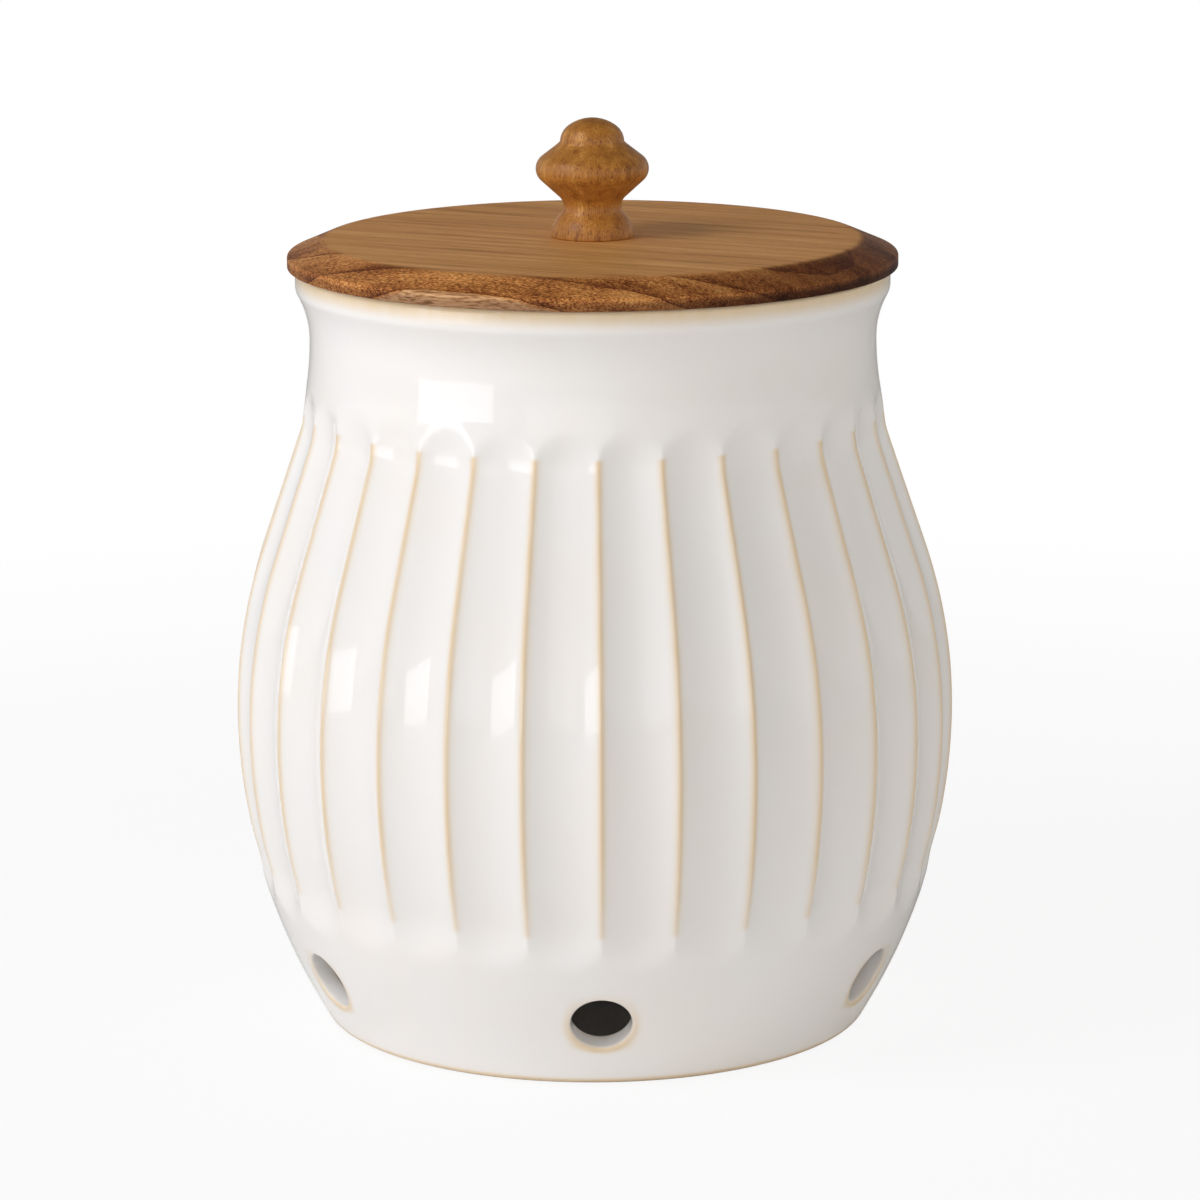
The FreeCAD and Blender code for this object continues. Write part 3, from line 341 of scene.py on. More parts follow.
def make_crock():
    """The jar: closed rows of points, from under the foot over the rim to the floor inside.

    Where a vent hole is, a block of the rows' faces is left out on both sides of the wall. Rings
    lead from the block's border over the hole's edge and through its bore to the other side.
    """
    mesh = RingMesh()
    theta = angles_around()
    low, high = (float(OUTSIDE.at_height(z)) for z in OUTER_BAND)
    in_low, in_high = (float(INSIDE.at_height(z)) for z in INNER_BAND)
    lip, inner_lip = OUTSIDE.at_height(OUTER_LIP), INSIDE.at_height(INNER_LIP)
    outer_s = steps(0, low, LOW_STEP) + list(np.linspace(low, high, BAND_ROWS + 1))
    outer_s += steps(high, lip, SIDE_STEP)[1:]
    outer_s += steps(lip, OUTSIDE.length, LIP_STEP) + [OUTSIDE.length]
    inner_s = steps(INSIDE.length, inner_lip, LIP_STEP)
    inner_s += steps(inner_lip, in_high, INNER_STEP)
    inner_s += list(np.linspace(in_high, in_low, BAND_ROWS + 1))
    inner_s += steps(in_low, 0, FLOOR_STEP)[1:] + [0.0]
    foot_radius = float(OUTSIDE.radius(0))
    recess = foot_radius - FOOT_WIDTH
    rows = []

    def row(points, thin=0.0, clay=0.0):
        rows.append(mesh.add(points, thin, clay))
        return len(rows) - 1

    under = [(r, FOOT_RECESS) for r in UNDER_RINGS]
    under += [(recess + out, z) for out, z in FOOT_LINE]
    for r, z in (*under, (foot_radius - FOOT_CORNER, 0.0)):
        row(ring(r, z, theta), 0.0, 1.0)
    spans = {}
    for s in outer_s:
        s = float(s)
        points, ridge = jar_outside(theta, np.full(AROUND, s))
        z = float(OUTSIDE.height(s))
        foot = math.exp(-((z - FOOT_TAN[0]) / FOOT_TAN[1]) ** 2)
        # The rim's tan: a thin glaze at its edge, reaching down as painted shade and a painted
        # reflection of the lid.
        rim = smooth_step(JAR_HEIGHT - RIM_TAN_AND_PAINTED_SHADE, JAR_HEIGHT - RIM_FULL, z)
        index = row(points, np.maximum(ridge, max(foot, rim)), 1.0 - smooth_step(*CLAY_EDGE, z))
        if abs(s - low) < SAME:
            spans["outer"] = [index]
        if abs(s - high) < SAME:
            spans["outer"].append(index)
    for s in inner_s:
        s = float(s)
        points, _ = jar_inside(theta, np.full(AROUND, s))
        drop, fade = INSIDE_TAN
        index = row(points, math.exp(-((INSIDE.height(s) - JAR_HEIGHT + drop) / fade) ** 2))
        if abs(s - in_high) < SAME:
            spans["inner"] = [index]
        if abs(s - in_low) < SAME:
            spans["inner"].append(index)
    for r in FLOOR_RINGS:
        row(ring(r, FLOOR_HEIGHT, theta))

    half = PER_FLUTE
    centres = [k * AROUND // VENTS for k in range(VENTS)]
    in_block = np.zeros(AROUND, bool)
    for c in centres:
        in_block[np.arange(c - half, c + half) % AROUND] = True
    outer_rows = range(spans["outer"][0], spans["outer"][1])
    inner_rows = range(spans["inner"][0], spans["inner"][1])
    for i in range(len(rows) - 1):
        inside = i in outer_rows or i in inner_rows
        mesh.strip(rows[i], rows[i + 1], ~in_block if inside else None)
    for last, turn_over in ((rows[0], True), (rows[-1], False)):
        z = mesh.points[0][0][2] if turn_over else FLOOR_HEIGHT
        hub = mesh.add([[0.0, 0.0, z]], 0.0, 1.0 if turn_over else 0.0)[0]
        for a, b in zip(last, np.roll(last, -1)):
            mesh.faces.append((b, a, hub) if turn_over else (a, b, hub))

    def border(bottom, top, centre):
        """The ring of points round a block, anticlockwise from its lower left as seen outside."""
        columns = np.arange(centre - half, centre + half + 1) % AROUND
        up = 1 if top > bottom else -1
        sides = [rows[bottom][c] for c in columns[:-1]]
        sides += [rows[r][columns[-1]] for r in range(bottom, top, up)]
        sides += [rows[top][c] for c in columns[:0:-1]]
        sides += [rows[r][columns[0]] for r in range(top, bottom, -up)]
        return np.array(sides)

    points = np.concatenate(mesh.points)
    for number, centre in enumerate(centres):
        outer = border(spans["outer"][0], spans["outer"][1], centre)
        inner = border(spans["inner"][1], spans["inner"][0], centre)
        middle, out, side, up, turn = vent_frame(number)
        away = points[outer] - middle
        angles = np.arctan2(away @ up, away @ side)
        low_side = VENT_TAN[0] - VENT_TAN[1] * np.sin(angles)
        outside_edge = edge_rings(OUTSIDE, number, angles, 0.0, 1)
        inside_edge = edge_rings(INSIDE, number, angles, WALL, -1)
        rings = [outer]
        b0, s0 = place_on(OUTSIDE, points[outer], turn)
        b1, s1 = place_on(OUTSIDE, outside_edge[0], turn)
        for f in TO_VENT:
            p, ridge = jar_outside(b0 + (b1 - b0) * f, s0 + (s1 - s0) * f)
            edge = low_side * math.exp(-(((1 - f) / VENT_HALO) ** 2))
            rings.append(mesh.add(p, np.maximum(ridge, edge)))
        for p, thin in zip(outside_edge, VENT_EDGE_THIN):
            rings.append(mesh.add(p, low_side * thin))
        for f in ALONG_BORE:
            rings.append(mesh.add(outside_edge[-1] * (1 - f) + inside_edge[-1] * f))
        for p in inside_edge[::-1]:
            rings.append(mesh.add(p, VENT_INSIDE_THIN))
        b0, s0 = place_on(INSIDE, inside_edge[0], turn)
        b1, s1 = place_on(INSIDE, points[inner], turn)
        for f in FROM_VENT:
            p, _ = jar_inside(b0 + (b1 - b0) * f, s0 + (s1 - s0) * f)
            rings.append(mesh.add(p))
        rings.append(inner)
        for a, b in zip(rings[:-1], rings[1:]):
            mesh.strip(a, b)
    piece = new_piece("crock_body", np.concatenate(mesh.points), mesh.faces)
    add_values(piece, "thin", np.concatenate(mesh.thin))
    add_values(piece, "clay", np.concatenate(mesh.clay))
    return piece


def new_piece(name, points, faces):
    """A smooth-shaded mesh object from points in millimetres."""
    data = bpy.data.meshes.new(name)
    data.from_pydata((np.asarray(points) * MM).tolist(), [], [tuple(map(int, f)) for f in faces])
    data.validate()
    data.shade_smooth()
    piece = bpy.data.objects.new(name, data)
    bpy.context.scene.collection.objects.link(piece)
    return piece


def add_values(piece, name, values):
    """Keep one number for each of a mesh's points, for its material to read."""
    layer = piece.data.attributes.new(name, "FLOAT", "POINT")
    layer.data.foreach_set("value", np.asarray(values, np.float32))


# The lid and its knob, in millimetres.
LID_RADIUS, LID_THICKNESS, LID_EDGE = 99.2, 9.0, 3.9
BEVEL_WIDTH, BEVEL_SOFTEN, EDGE_SOFTEN, UNDER_SOFTEN = 12.0, 6.0, 1.0, 0.45
SCREW_HOLE = 2.05
KNOB_HEIGHT, KNOB_FOOT, KNOB_FOOT_ARC = 38.6, 13.5, 10.4
KNOB_NECK, KNOB_NECK_ARC = 9.4, 4.0
KNOB_BELLY, KNOB_BELLY_HEIGHT, KNOB_BELLY_ARC = 18.35, 22.2, 5.0
DOME, DOME_SIDE_ARC, CROWN_ARC = 10.4, 6.5, 13.0
KNOB_HOLE = 19.5
LID_COLUMNS, KNOB_COLUMNS = 360, 128
LID_SPACING, KNOB_SPACING = 2.5, 0.8


def rounded(corners, spacing):
    """A line through corners (x, y, rounding), each rounded by an arc that touches both sides."""
    points = []
    for i, (x, y, rounding) in enumerate(corners):
        here = np.array([x, y])
        if not rounding:
            points.append(here)
            continue
        before = np.array(corners[i - 1][:2]) - here
        after = np.array(corners[i + 1][:2]) - here
        before = before / np.hypot(*before)
        after = after / np.hypot(*after)
        half = math.acos(float(np.clip(before @ after, -1, 1))) / 2
        set_back = rounding / math.tan(half)
        bisector = (before + after) / np.hypot(*(before + after))
        centre = here + bisector * rounding / math.sin(half)
        a = here + before * set_back - centre
        b = here + after * set_back - centre
        first = math.atan2(a[1], a[0])
        swing = (math.atan2(b[1], b[0]) - first + math.pi) % (2 * math.pi) - math.pi
        count = max(4, int(abs(swing) / math.radians(5)))
        for t in np.linspace(0, 1, count + 1):
            angle = first + swing * t
            points.append(centre + rounding * np.array([math.cos(angle), math.sin(angle)]))
    return spaced(points, spacing)


def spaced(points, spacing):
    """The same line with no step longer than the spacing."""
    out = [points[0]]
    for a, b in zip(points[:-1], points[1:]):
        a, b = np.asarray(a), np.asarray(b)
        count = max(1, math.ceil(float(np.hypot(*(b - a))) / spacing))
        out += [a + (b - a) * t for t in np.linspace(0, 1, count + 1)[1:]]
    return np.array(out)


def turned(name, outline, around, base):
    """A turned piece: a closed outline of (radius, height) spun about the axis."""
    theta = np.linspace(0, 2 * math.pi, around, endpoint=False)
    mesh = RingMesh()
    rows = [mesh.add(ring(float(r), base + float(z), theta)) for r, z in outline]
    for a, b in zip(rows, rows[1:] + rows[:1]):
        mesh.strip(a, b)
    return new_piece(name, np.concatenate(mesh.points), mesh.faces)


def make_lid():
    """The board: a disc with a wide bevel, soft corners and a hole for the screw."""
    bevel_foot = LID_RADIUS - BEVEL_WIDTH
    corners = [(SCREW_HOLE, 0.0, 0), (LID_RADIUS, 0.0, UNDER_SOFTEN),
               (LID_RADIUS, LID_EDGE, EDGE_SOFTEN), (bevel_foot, LID_THICKNESS, BEVEL_SOFTEN),
               (SCREW_HOLE, LID_THICKNESS, 0)]
    line = rounded(corners, LID_SPACING)
    line = np.concatenate([line, [[SCREW_HOLE, LID_THICKNESS / 2]]])
    return turned("lid_disc", line, LID_COLUMNS, JAR_HEIGHT)


def tangent_across(first, first_radius, second, second_radius):
    """Where a line touches two circles on opposite sides of it, the first on its right.

    A circle with a radius of 0 is a point, and one with a negative radius lies on the line's
    other side.
    """
    dx, dy = second[0] - first[0], second[1] - first[1]
    heading = math.atan2(dy, dx) - math.asin((first_radius + second_radius) / math.hypot(dx, dy))
    side = (-math.sin(heading), math.cos(heading))
    start = (first[0] + first_radius * side[0], first[1] + first_radius * side[1])
    end = (second[0] - second_radius * side[0], second[1] - second_radius * side[1])
    return start, end


def arc_between(centre, radius, a, b, way):
    """Points along an arc from one place to another, anticlockwise (1) or clockwise (-1)."""
    first = math.atan2(a[1] - centre[1], a[0] - centre[0])
    last = math.atan2(b[1] - centre[1], b[0] - centre[0])
    swing = way * ((way * (last - first)) % (2 * math.pi))
    count = max(4, int(abs(swing) * radius / 0.7))
    return [from_centre(centre, radius, first + swing * t) for t in np.linspace(0, 1, count + 1)]


def make_knob():
    """A flared foot, a neck, a wide belly and a dome, with the creases softened."""
    foot_centre = (KNOB_FOOT - KNOB_FOOT_ARC, 0.0)
    neck_x = KNOB_NECK + KNOB_NECK_ARC
    neck_rise = math.sqrt((KNOB_FOOT_ARC + KNOB_NECK_ARC) ** 2 - (neck_x - foot_centre[0]) ** 2)
    share = KNOB_FOOT_ARC / (KNOB_FOOT_ARC + KNOB_NECK_ARC)
    foot_end = (foot_centre[0] + (neck_x - foot_centre[0]) * share, neck_rise * share)
    belly_centre = (KNOB_BELLY - KNOB_BELLY_ARC, KNOB_BELLY_HEIGHT)
    crown = (0.0, KNOB_HEIGHT - CROWN_ARC)
    side_x = DOME - DOME_SIDE_ARC
    side_rise = math.sqrt((CROWN_ARC - DOME_SIDE_ARC) ** 2 - side_x**2)
    side_centre = (side_x, crown[1] + side_rise)
    crease = (DOME, side_centre[1])
    crown_start = from_centre(crown, CROWN_ARC, math.atan2(side_rise, side_x))
    belly_start, neck_end = tangent_across(belly_centre, KNOB_BELLY_ARC, (neck_x, neck_rise),
                                           KNOB_NECK_ARC)
    _, belly_end = tangent_across(crease, 0.0, belly_centre, -KNOB_BELLY_ARC)
    line = [(SCREW_HOLE, 0.0), (KNOB_FOOT - 0.4, 0.0), (KNOB_FOOT - 0.05, 0.25)]
    line += arc_between(foot_centre, KNOB_FOOT_ARC, (KNOB_FOOT, 0.5), foot_end, 1)
    line += arc_between((neck_x, neck_rise), KNOB_NECK_ARC, foot_end, neck_end, -1)[1:]
    line += arc_between(belly_centre, KNOB_BELLY_ARC, belly_start, belly_end, 1)
    line = list(spaced(line, KNOB_SPACING))
    slope = np.array(crease) - np.array(belly_end)
    line += [tuple(np.array(crease) - slope * f) for f in (0.75, 0.5, 0.3, 0.15)]
    line += [(crease[0] + 0.02, crease[1] + 0.15), (crease[0] - 0.02, crease[1] + 0.5)]
    line += arc_between(side_centre, DOME_SIDE_ARC, (DOME, crease[1] + 0.9), crown_start, 1)
    line += arc_between(crown, CROWN_ARC, crown_start, (0.35, KNOB_HEIGHT), 1)[1:]
    theta = np.linspace(0, 2 * math.pi, KNOB_COLUMNS, endpoint=False)
    mesh = RingMesh()
    base = JAR_HEIGHT + LID_THICKNESS
    rows = [mesh.add(ring(SCREW_HOLE, base + KNOB_HOLE, theta))]
    rows += [mesh.add(ring(float(r), base + float(z), theta)) for r, z in line]
    for a, b in zip(rows[:-1], rows[1:]):
        mesh.strip(a, b)
    for height, loop, flip in ((KNOB_HOLE, rows[0], True), (KNOB_HEIGHT, rows[-1], False)):
        hub = mesh.add([[0.0, 0.0, base + height]])[0]
        for a, b in zip(loop, np.roll(loop, -1)):
            mesh.faces.append((b, a, hub) if flip else (a, b, hub))
    return new_piece("lid_knob", np.concatenate(mesh.points), mesh.faces)


def tree(name):
    """A new material and helpers to add and join its nodes."""
    made = bpy.data.materials.new(name)
    made.use_nodes = True
    made.node_tree.nodes.clear()
    return made, Nodes(made.node_tree)


class Nodes:
    """Adds nodes to a tree, with inputs given as values or as other nodes' sockets."""

    def __init__(self, node_tree):
        self.tree = node_tree

    def add(self, kind, settings=None, **inputs):
        node = self.tree.nodes.new(kind)
        for key, value in (settings or {}).items():
            setattr(node, key, value)
        for key, value in inputs.items():
            self.put(node, key.replace("_", " "), value)
        return node

    def put(self, node, key, value):
        socket = node.inputs[int(key)] if key.isdigit() else node.inputs[key]
        if isinstance(value, bpy.types.NodeSocket):
            self.tree.links.new(value, socket)
        else:
            socket.default_value = value

    def math(self, operation, a, b=None, c=None, clamp=False):
        node = self.add("ShaderNodeMath", {"operation": operation, "use_clamp": clamp})
        for i, value in enumerate((a, b, c)):
            if value is not None:
                self.put(node, str(i), value)
        return node.outputs[0]

    def ramp(self, value, stops, ease="LINEAR"):
        node = self.add("ShaderNodeValToRGB", Fac=value)
        ramp = node.color_ramp
        ramp.interpolation = ease
        while len(ramp.elements) < len(stops):
            ramp.elements.new(0.5)
        for element, (place, colour) in zip(ramp.elements, stops):
            element.position = place
            element.color = colour
        return node.outputs["Color"]

    def between(self, value, low, high, to_low=0.0, to_high=1.0):
        node = self.add("ShaderNodeMapRange", {"interpolation_type": "SMOOTHSTEP"}, Value=value)
        for key, number in (("From Min", low), ("From Max", high), ("To Min", to_low),
                            ("To Max", to_high)):
            self.put(node, key, number)
        return node.outputs["Result"]

    def mix(self, share, a, b, how="MIX"):
        node = self.add("ShaderNodeMix", {"data_type": "RGBA", "blend_type": how})
        self.put(node, "0", share)
        self.put(node, "6", a)
        self.put(node, "7", b)
        return node.outputs[2]

    def noise(self, place, stretch=(1, 1, 1), scale=1.0, detail=2.0, rough=0.5, seed=0.0):
        moved = self.add("ShaderNodeMapping", Vector=place)
        moved.inputs["Scale"].default_value = stretch
        moved.inputs["Location"].default_value = (seed, seed * 1.7, seed * 0.6)
        node = self.add("ShaderNodeTexNoise", Vector=moved.outputs[0], Scale=scale,
                        Detail=detail, Roughness=rough, Distortion=0.0)
        return node.outputs["Fac"]

    def vary(self, base, value, amount):
        """The base, more where the value is over a half and less where it is under a half."""
        return self.math("MULTIPLY_ADD", self.math("SUBTRACT", value, 0.5), amount, base)

    def fibres(self, grain, size, **settings):
        """Noise in the wood, with its size along and across the fibres in millimetres."""
        along, across = size
        return self.noise(grain, (1 / along, 1 / across, 1 / across), **settings)

    def finish(self, shader):
        out = self.add("ShaderNodeOutputMaterial")
        self.tree.links.new(shader, out.inputs["Surface"])


def rgb(red, green, blue):
    """A screen colour, 0 to 255, as the linear colour that a shader takes."""
    def linear(value):
        value /= 255
        return value / 12.92 if value <= 0.04045 else ((value + 0.055) / 1.055) ** 2.4
    return (linear(red), linear(green), linear(blue), 1.0)


def glaze_material():
    """White glossy glaze over tan stoneware: thin and tan on edges, bare clay under the foot."""
    made, n = tree("white_glaze")
    place = n.add("ShaderNodeTexCoord").outputs["Object"]
    thin = n.add("ShaderNodeAttribute", {"attribute_name": "thin"}).outputs["Fac"]
    clay = n.add("ShaderNodeAttribute", {"attribute_name": "clay"}).outputs["Fac"]
    cloud = n.noise(place, scale=GLAZE_CLOUD, detail=3.0)
    grit = n.noise(place, scale=CLAY_GRIT, detail=2.0, seed=4.0)
    runs = n.noise(place, GLAZE_RUNS, detail=3.0, seed=2.0)
    white = n.mix(n.between(cloud, 0.3, 0.7), WHITE_COOL, WHITE_WARM)
    patchy = n.math("MULTIPLY_ADD", n.between(runs, 0.3, 0.7), PATCHY, 1 - PATCHY)
    worn = n.math("MULTIPLY", thin, patchy, clamp=True)
    halo = n.math("MULTIPLY", n.math("POWER", worn, HALO_SPREAD), HALO_SHARE)
    colour = n.mix(halo, white, HALO)
    colour = n.mix(n.math("MULTIPLY", worn, TAN_SHARE), colour, TAN)
    bare = n.mix(n.between(grit, 0.35, 0.65), CLAY_LIGHT, CLAY_DARK)
    colour = n.mix(clay, colour, bare)
    rough = n.math("MULTIPLY_ADD", clay, CLAY_ROUGH, GLAZE_ROUGH)
    rough = n.math("MULTIPLY_ADD", n.between(cloud, 0.35, 0.65), 0.02, rough)
    ripple = n.noise(place, scale=GLAZE_RIPPLE, detail=1.0, seed=7.0)
    bump = n.add("ShaderNodeBump", Strength=0.3, Distance=GLAZE_RELIEF, Height=ripple)
    shader = n.add("ShaderNodeBsdfPrincipled", Base_Color=colour, Roughness=rough,
                   Normal=bump.outputs[0], IOR=GLASS)
    n.finish(shader.outputs[0])
    return made


def lay_along(n, turn):
    """A place in the wood in millimetres, turned so that the fibres run along X."""
    place = n.add("ShaderNodeTexCoord").outputs["Object"]
    laid = n.add("ShaderNodeMapping", Vector=place)
    laid.inputs["Rotation"].default_value = turn
    laid.inputs["Scale"].default_value = (1 / MM, 1 / MM, 1 / MM)
    return laid.outputs[0]


def growth_rings(n, grain, hub, gap):
    """How far a place is from the log's middle, and how late in its year's ring, from 0 to 1."""
    sway = n.fibres(grain, RING_SWAY, detail=2.0)
    ripple = n.fibres(grain, RING_RIPPLE, detail=2.0, seed=3.0)
    split = n.add("ShaderNodeSeparateXYZ", Vector=grain)
    y = n.math("SUBTRACT", split.outputs["Y"], hub[0])
    z = n.math("SUBTRACT", split.outputs["Z"], hub[1])
    reach = n.math("SQRT", n.math("ADD", n.math("MULTIPLY", y, y), n.math("MULTIPLY", z, z)))
    reach = n.vary(reach, sway, 9.0)
    reach = n.vary(reach, ripple, 1.8)
    return reach, n.math("FRACT", n.math("DIVIDE", reach, gap))


def lid_material():
    """Oiled hardwood: matt and finely streaked on top, darker and stippled where fibres are cut.
    The upright edge and the right side carry painted shade.
    """
    made, n = tree("lid_wood")
    grain = lay_along(n, (0, 0, GRAIN_TURN))
    cut = n.add("ShaderNodeAttribute", {"attribute_name": "cut"}).outputs["Fac"]
    end = n.add("ShaderNodeAttribute", {"attribute_name": "end"}).outputs["Fac"]
    edge = n.add("ShaderNodeAttribute", {"attribute_name": "edge"}).outputs["Fac"]
    reach, late = growth_rings(n, grain, LID_HUB, LID_RING)
    band = n.fibres(grain, LID_BAND, detail=4.0, rough=0.62, seed=9.0)
    fibre = n.fibres(grain, LID_FIBRE, detail=3.0, rough=0.65, seed=1.0)
    tone = n.vary(n.vary(0.5, band, 1.2), fibre, 1.0)
    tone = n.math("MULTIPLY_ADD", n.math("POWER", late, 3.0), -0.06, tone)
    top = n.ramp(tone, [(0.1, TOP_DARK), (0.48, TOP_MIDDLE), (0.9, TOP_LIGHT)], "EASE")
    pores = n.fibres(grain, LID_PORES, detail=1.0, seed=12.0)
    pit = n.between(pores, 0.6, 0.72)
    top = n.mix(n.math("MULTIPLY", pit, 0.4), top, TOP_DARK)

    stipple = n.fibres(grain, CUT_STIPPLE, detail=2.5, rough=0.7, seed=15.0)
    cloud = n.fibres(grain, CUT_CLOUD, detail=3.0, seed=21.0)
    depth = n.vary(n.vary(n.vary(0.5, stipple, 2.6), cloud, 1.1), band, 0.9)
    depth = n.math("MULTIPLY_ADD", n.math("POWER", late, 2.0), -0.3, depth)
    bevel = n.ramp(depth, [(0.05, CUT_DARK), (0.5, CUT_MIDDLE), (0.95, CUT_LIGHT)])
    # Darker end grain on the bevel, with painted shade heavier on the lid's right side.
    bevel = n.mix(end, bevel, n.mix(1.0, bevel, END_GRAIN_AND_PAINTED_SHADE, "MULTIPLY"))
    colour = n.mix(cut, top, bevel)

    line = n.math("MULTIPLY", n.between(late, *LINE_SPAN), n.math("MULTIPLY_ADD", cut, 0.5, 0.05))
    front = n.add("ShaderNodeSeparateXYZ", Vector=grain).outputs["Y"]
    sap = n.math("MULTIPLY", n.between(reach, SAPWOOD, SAPWOOD + SAP_EDGE),
                 n.between(front, *SAP_FRONT))
    dash = n.fibres(grain, SAP_DASH, detail=2.0, rough=0.6, seed=27.0)
    sapwood = n.ramp(dash, [(0.36, SAP_DARK), (0.5, SAP_MIDDLE), (0.66, SAP_LIGHT)])
    colour = n.mix(n.math("MULTIPLY", sap, cut), colour, sapwood)
    colour = n.mix(n.math("MULTIPLY", line, n.math("SUBTRACT", 1.0, sap)), colour, LINE)
    # Painted shade on the upright edge, heaviest on the right side.
    colour = n.mix(edge, colour, n.mix(1.0, colour, EDGE_PAINTED_SHADE, "MULTIPLY"))

    relief = n.math("MULTIPLY_ADD", pit, -1.0, n.math("MULTIPLY", fibre, 0.5))
    relief = n.math("MULTIPLY_ADD", n.math("MULTIPLY", stipple, cut), 0.8, relief)
    bump = n.add("ShaderNodeBump", Strength=0.4, Distance=0.00018, Height=relief)
    rough = n.vary(n.math("MULTIPLY_ADD", cut, -0.16, 0.66), fibre, 0.15)
    shader = n.add("ShaderNodeBsdfPrincipled", Base_Color=colour, Roughness=rough,
                   Normal=bump.outputs[0], Specular_IOR_Level=0.1)
    n.finish(shader.outputs[0])
    return made


def knob_material():
    """Lighter turned hardwood, with its fibres upright and short dark pores along them."""
    made, n = tree("knob_wood")
    grain = lay_along(n, (0, math.pi / 2, 0))
    _, late = growth_rings(n, grain, KNOB_HUB, KNOB_RING)
    band = n.fibres(grain, KNOB_BAND, detail=3.0, rough=0.6, seed=9.0)
    fibre = n.fibres(grain, KNOB_FIBRE, detail=3.0, rough=0.65, seed=1.0)
    tone = n.vary(n.vary(0.5, band, 1.2), fibre, 0.9)
    tone = n.math("MULTIPLY_ADD", n.math("POWER", late, 3.0), -0.08, tone)
    colour = n.ramp(tone, [(0.1, KNOB_DARK), (0.48, KNOB_MIDDLE), (0.9, KNOB_LIGHT)], "EASE")
    pores = n.fibres(grain, KNOB_PORES, detail=1.0, seed=12.0)
    pit = n.between(pores, 0.58, 0.66)
    colour = n.mix(n.math("MULTIPLY", pit, 0.75), colour, KNOB_PORE)
    relief = n.math("MULTIPLY_ADD", pit, -1.0, n.math("MULTIPLY", fibre, 0.4))
    bump = n.add("ShaderNodeBump", Strength=0.35, Distance=0.00015, Height=relief)
    rough = n.vary(0.42, fibre, 0.15)
    shader = n.add("ShaderNodeBsdfPrincipled", Base_Color=colour, Roughness=rough,
                   Normal=bump.outputs[0], Specular_IOR_Level=0.35)
    n.finish(shader.outputs[0])
    return made


def plain_material(name, base, dark, rough, metallic=0.0, scale=300.0):
    """A small part's finish: a faint mottle in colour, roughness and relief."""
    made, n = tree(name)
    place = n.add("ShaderNodeTexCoord").outputs["Object"]
    mottle = n.noise(place, scale=scale, detail=3.0)
    colour = n.mix(n.between(mottle, 0.3, 0.7), base, dark)
    bump = n.add("ShaderNodeBump", Strength=0.2, Distance=0.0001, Height=mottle)
    shader = n.add("ShaderNodeBsdfPrincipled", Base_Color=colour, Normal=bump.outputs[0],
                   Metallic=metallic,
                   Roughness=n.math("MULTIPLY_ADD", mottle, 0.15, rough - 0.07))
    n.finish(shader.outputs[0])
    return made


# The finishes' colours.
WHITE_COOL, WHITE_WARM = rgb(240, 237, 235), rgb(241, 236, 232)
HALO, TAN = rgb(234, 220, 196), rgb(227, 201, 162)
CLAY_LIGHT, CLAY_DARK = rgb(214, 192, 160), rgb(196, 170, 136)
TOP_DARK, TOP_MIDDLE, TOP_LIGHT = rgb(168, 108, 54), rgb(212, 150, 84), rgb(236, 182, 114)
CUT_DARK, CUT_MIDDLE, CUT_LIGHT = rgb(108, 57, 28), rgb(194, 124, 64), rgb(238, 176, 104)
SAP_DARK, SAP_MIDDLE, SAP_LIGHT = rgb(140, 98, 64), rgb(196, 146, 100), rgb(218, 174, 128)
KNOB_DARK, KNOB_MIDDLE, KNOB_LIGHT = rgb(122, 70, 24), rgb(172, 113, 46), rgb(206, 150, 76)
# The end grain's darkening also carries painted shade on the lid's right side.
LINE, END_GRAIN_AND_PAINTED_SHADE, KNOB_PORE = rgb(84, 36, 18), rgb(152, 134, 124), rgb(104, 54, 22)
# Painted shade for the lid's upright edge.
EDGE_PAINTED_SHADE = rgb(150, 142, 152)

# The glaze: how close its patterns are (in each metre), how much they and the tan show, how rough
# and how deep the surfaces are, and how strongly the glaze bends light.
GLAZE_CLOUD, CLAY_GRIT, GLAZE_RUNS, GLAZE_RIPPLE = 28.0, 900.0, (260, 260, 26), 95.0
PATCHY, HALO_SPREAD, HALO_SHARE, TAN_SHARE = 0.14, 0.45, 0.18, 0.92
GLAZE_ROUGH, CLAY_ROUGH, GLAZE_RELIEF, GLASS = 0.025, 0.7, 0.00016, 1.52

# The wood's figure in millimetres: the way of the lid's fibres, where the growth rings' middle lies
# and how wide they are, where sapwood begins, and the sizes of streaks along and across the fibres.
GRAIN_TURN = math.radians(27)
LID_HUB, LID_RING, SAPWOOD = (-14.3, 340.0), 12.0, 120.0
KNOB_HUB, KNOB_RING = (38.0, 22.0), 4.5
LINE_SPAN, SAP_EDGE, SAP_FRONT = (0.93, 0.985), 0.9, (-20.0, -40.0)
RING_SWAY, RING_RIPPLE = (90, 60), (14, 9)
LID_BAND, LID_FIBRE, LID_PORES = (120, 5), (26, 0.7), (5.0, 0.4)
CUT_STIPPLE, CUT_CLOUD, SAP_DASH = (1.3, 0.5), (30, 9), (6.0, 0.6)
KNOB_BAND, KNOB_FIBRE, KNOB_PORES = (40, 3), (12, 0.5), (2.2, 0.32)

# Where the lid's looks change: about the bevel's foot, under the edge's top where the edge's
# painted shade begins, and across the lid, where painted shade grows towards the right side.
BEVEL_BLEND, EDGE_BLEND, PAINTED_SHADE_SPAN = 1.6, (1.4, 0.2), (-50.0, 70.0)


def dress(piece, made):
    """Give a piece one material."""
    piece.data.materials.clear()
    piece.data.materials.append(made)


